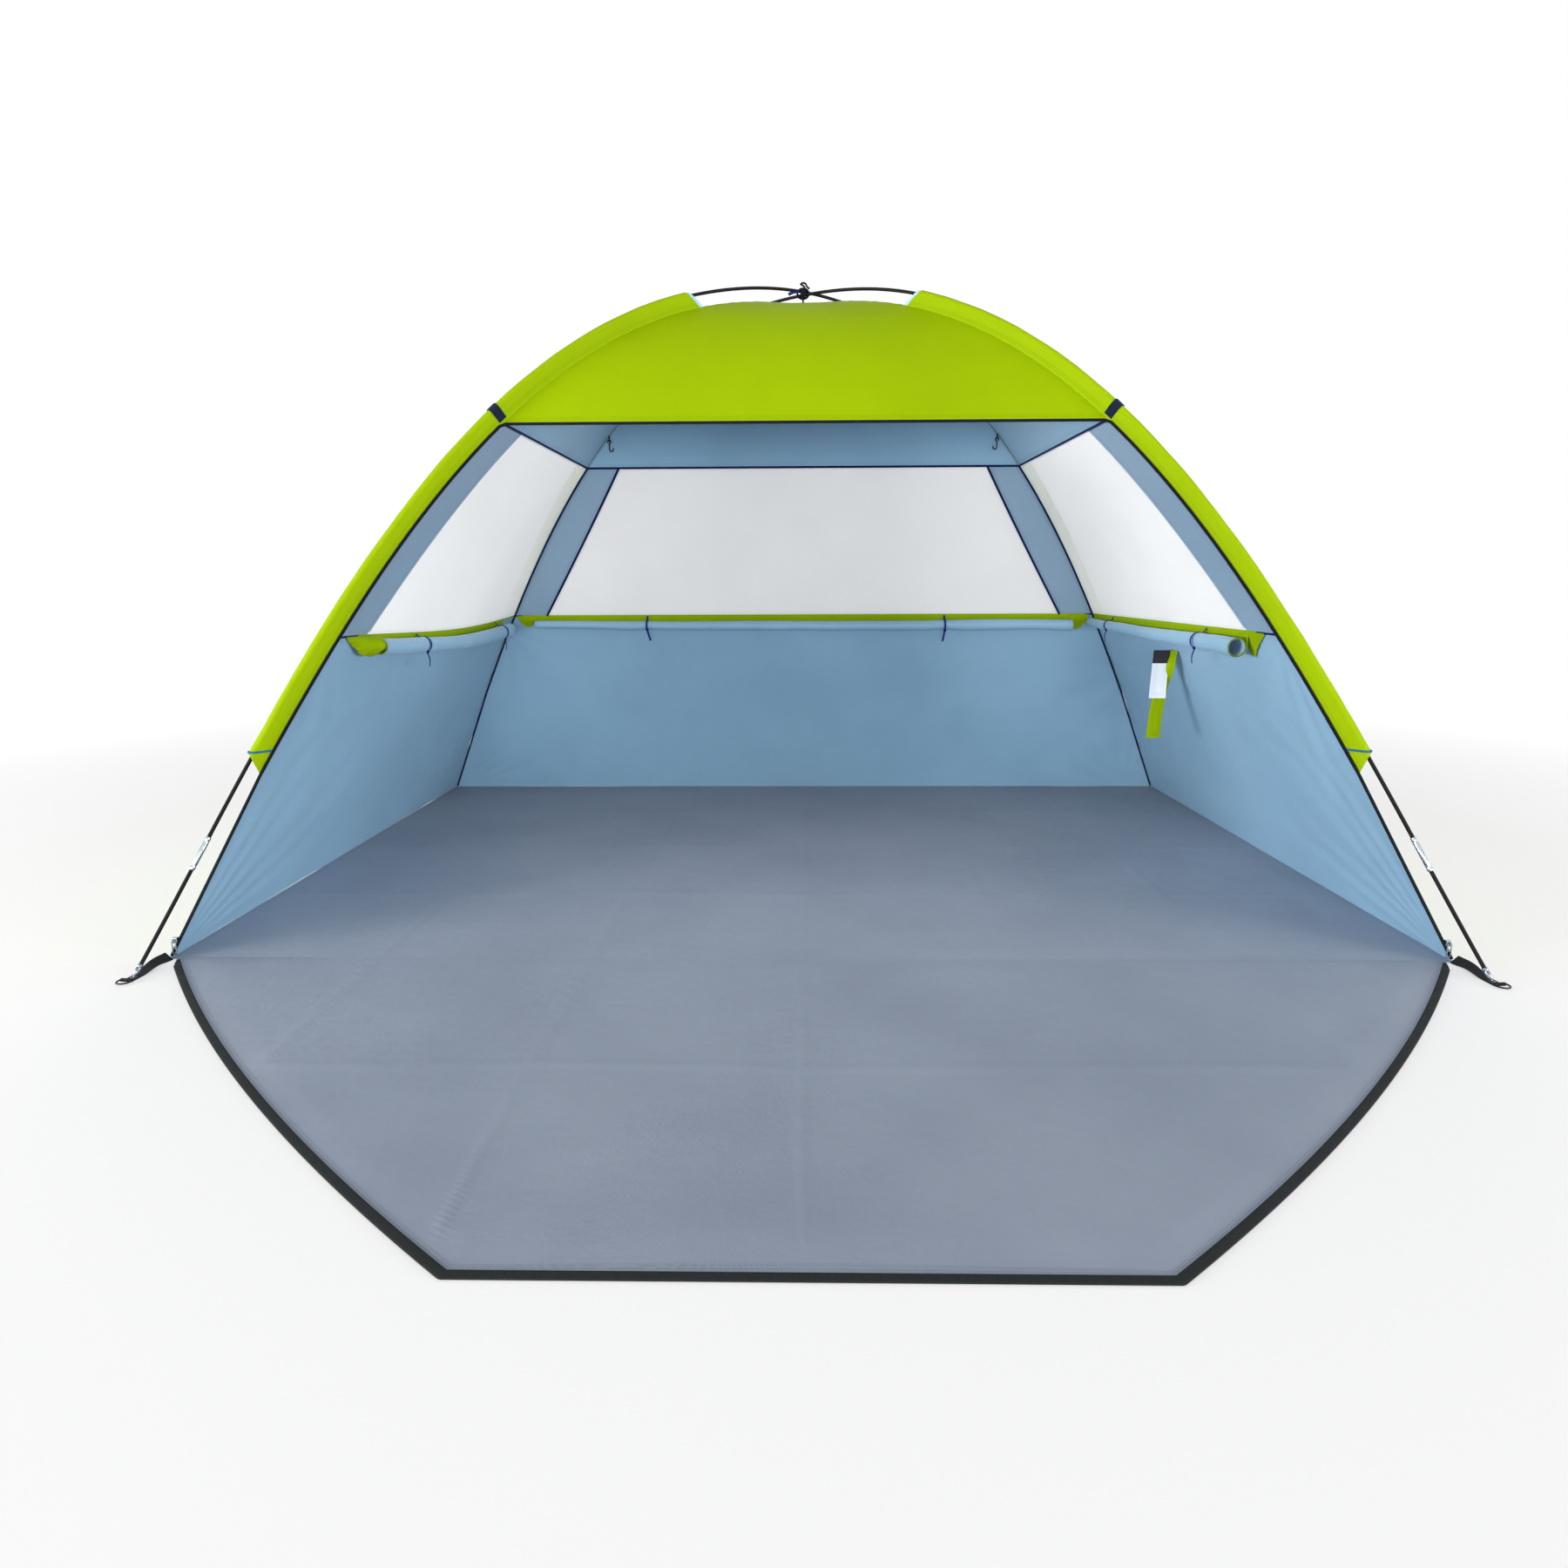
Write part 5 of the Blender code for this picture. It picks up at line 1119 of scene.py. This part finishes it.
def build_hooks():
    for name, side in (("left", -1), ("right", 1)):
        low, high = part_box(name + "_hook_loop")
        x, y = side * half_width(1.090), (low[1] + high[1]) / 2
        bar_z, top, half = low[2] + 0.0012, high[2] - 0.0002, 0.0044
        a = np.radians(np.linspace(180, 360, 20))
        bend = bar_z + half + 0.002
        loop = line(x, y + half * np.concatenate(((-1, -1), np.cos(a), (1, 1))),
                    np.concatenate(((top, bend), bar_z + half * (1 + np.sin(a)), (bend, top))))
        dress(sweep(name + "_loop_tape", loop, 0.0012, 0.0012, WEBBING, segments=10), "black_webbing",
              name + "_hook_loop")
        eye, hook = np.radians(np.linspace(225, -90, 40)), np.radians(np.linspace(0, -180, 28))
        eye_low = bar_z - (EYE_RADIUS - 0.0014 - 0.0012 - 0.0003) - EYE_RADIUS
        out = np.concatenate((-EYE_RADIUS * np.cos(eye), np.zeros(4), HOOK_RADIUS * (np.cos(hook) - 1),
                              [-2 * HOOK_RADIUS]))
        up = np.concatenate((EYE_RADIUS * (1 + np.sin(eye)), (-0.004, -0.008, -0.012, -0.0155),
                             HOOK_RADIUS * np.sin(hook) - 0.016, [-0.012]))
        radii = np.full(len(out), 0.0018)
        radii[-1] = 0.0012
        made = sweep(name + "_hook_wire", line(x + side * out, y, eye_low + up), radii, radii, PLASTIC,
                     name + "_hook_body", up=(0, 1, 0), segments=12)
        dress(made, "black_plastic", name + "_hook")


# The cord's course round the crossing: along its own width, across the poles and up, in the units used below
HUB_ROUTE = (
    (0, -1, -1.6), (0, -1, -0.2), (0, -1, 0.75), (0, -0.5, 1.12), (0, 0, 1.16), (0, 0.5, 1.12), (0, 1, 0.75),
    (0, 1, -0.2), (0.1, 1, -0.85), (0.4, 0.5, -1.12), (0.7, 0, -1.16), (1, -0.5, -1.16), (1.3, -1.1, -0.9),
    (1.4, -1.25, 0), (1.3, -1.2, 0.9), (0.6, -0.9, 1.5), (-0.8, -0.5, 1.9), (-1.6, 0, 2.2), (-0.9, 0.3, 2.5),
    (0.8, 0.4, 2.6), (1.9, 0.4, 2.3), (2.4, 0.3, 1.9), (3.2, 0.2, 1.5), (4.4, 0.1, 1.2),
)


def build_hub_cord():
    crossing = np.array((0, 0, HUB_HEIGHT))
    wide, lay = 1.62 * (POLE_RADIUS + 0.0014), 2 * 0.0014 + 2 * TOUCH_GAP
    high = STACK_LIFT + POLE_RADIUS + 0.0014 + 2 * TOUCH_GAP
    start = (0, -wide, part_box("hub_cord")[0][2] + 0.0014 - HUB_HEIGHT)
    path = smooth_path([start, *(np.array(HUB_ROUTE) * (lay, wide, high))], 6) + crossing
    made = sweep("crossing_cord", path, 0.0021, 0.0021, BLACK_CORD, segments=10)
    dress(made, "black_webbing", "hub_cord")
    tall = STACK_LIFT + POLE_RADIUS + 0.0028
    k, m = np.arange(67), np.arange(6, 50)
    wraps = np.concatenate((
        line(-0.0044 + 0.0088 * k / 66, 0.0094 * np.cos(k * math.tau / 22), tall * np.sin(k * math.tau / 22)),
        line(0.0134 * np.sin(m * math.tau / 22), -0.0028 + 0.0056 * m / 44,
             (tall + 0.0012) * np.cos(m * math.tau / 22))))
    lashing = sweep("crossing_lashing", smooth_path(wraps, 2) + crossing, 0.0022, 0.0022, BLACK_CORD,
                    segments=10)
    tape = smooth_path(((-0.010, -0.0085, 0.002), (-0.018, -0.0135, 0.0), (-0.026, -0.0180, -0.003),
                        (-0.034, -0.0190, -0.007)), 5)
    tail = sweep("crossing_tape", tape + crossing, 0.0034, 0.0008, NAVY_CORD, up=(0.4, -1, 0.2), power=TAPE_POWER,
                 segments=12)
    [dress(piece, "black_webbing") for piece in (lashing, tail)]


def dress_nodes():
    """The zip's sliders and pulls keep their own shape and get their finished material."""
    for name in ("left_zip_slider", "right_zip_slider", "left_zip_pull", "right_zip_pull"):
        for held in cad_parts[name].material_slots:
            held.material = STEEL


# Stage, lights and camera

def build_stage():
    """White floor that takes the shadow beside the object and fades to plain white further out."""
    mesh = bpy.data.meshes.new("ground_plane")
    mesh.from_pydata([(x, y, -0.0004) for x, y in ((-30, -30), (30, -30), (30, 30), (-30, 30))], [],
                     [(0, 1, 2, 3)])
    nodes = Nodes(bpy.data.materials.new("stage_white"))
    plain = nodes.principled({"Base Color": (0.56, 0.56, 0.56, 1), "Roughness": 0.9, "Specular IOR Level": 0.0})
    glow, white = [nodes.node("Emission", {"Color": (1, 1, 1, 1), "Strength": level})
                   for level in (SHADED_GLOW, 1.0)]
    reach = nodes.node("VectorMath", {0: nodes.place()}, "Value", operation="LENGTH")
    faded = nodes.blend(nodes.ramp(reach, 1.9, 3.6), nodes.node("AddShader", {0: plain, 1: glow}), white)
    nodes.surface(nodes.blend(nodes.seen(), plain, faded))
    mesh.materials.append(nodes.owner)
    add_object("ground_plane", mesh)


def area_light(name, place, target, size, power):
    light = bpy.data.lights.new(name, "AREA")
    light.shape = "RECTANGLE"
    light.size, light.size_y = size
    light.energy = power
    made = add_object(name, light)
    made.location = place
    made.rotation_euler = (Vector(target) - Vector(place)).to_track_quat("-Z", "Y").to_euler()
    made.visible_camera = False


def build_lights():
    world = bpy.data.worlds.new("studio")
    bpy.context.scene.world = world
    nodes = Nodes(world)
    nodes.fill(nodes.tree.nodes["Background"],
               {"Color": (1, 1, 1, 1), "Strength": nodes.ramp(nodes.seen(), 0.0, 1.0, SHADED_GLOW, 1.0)})
    area_light("key", (-2.6, -4.2, 5.4), (0, -0.3, 0.4), (4.5, 4.5), 55)
    area_light("fill", (3.0, -3.8, 5.0), (0, 0, 0.5), (4.0, 4.0), 30)
    area_light("back", (0.5, 5.0, 4.5), (0, 0, 0.6), (4.0, 3.0), 75)
    area_light("front", (0, -6.6, 0.5), (0, 0.6, 0.75), (3.6, 1.2), 236)
    area_light("left_front", (-4.5, -2.6, 0.50), (1.0, 0, 0.5), (2.0, 1.0), 282)
    area_light("right_front", (4.5, -2.6, 0.50), (-1.0, 0, 0.5), (2.0, 1.0), 190)


def build_camera():
    """The camera solved from the photo."""
    data = bpy.data.cameras.new("photo_camera")
    data.sensor_width, data.lens = 36, 21.185
    camera = add_object("photo_camera", data)
    yaw, pitch, roll = math.radians(-0.95), math.radians(12.409), math.radians(-0.231)
    forward = Vector((math.sin(yaw) * math.cos(pitch), math.cos(yaw) * math.cos(pitch), -math.sin(pitch)))
    level = Vector((math.cos(yaw), -math.sin(yaw), 0))
    upright = level.cross(forward)
    right = level * math.cos(roll) + upright * math.sin(roll)
    up = upright * math.cos(roll) - level * math.sin(roll)
    camera.matrix_world = Matrix(((right.x, up.x, -forward.x, -0.0102), (right.y, up.y, -forward.y, -2.3641),
                                  (right.z, up.z, -forward.z, 0.6943), (0, 0, 0, 1)))
    bpy.context.scene.camera = camera
    bpy.context.scene.view_settings.view_transform = "Standard"


build_camera()
build_walls()
build_windows()
build_roof()
build_sleeves()
build_bindings()
build_piping()
ground, ground_area = build_ground()
build_band()
build_poles()
build_anchors()
build_covers()
build_hangings()
build_hooks()
build_hub_cord()
dress_nodes()
build_stage()
build_lights()

dress(ground, "floor_cloth", "floor_sheet", "porch_panel")
ground.parent = None
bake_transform(ground)
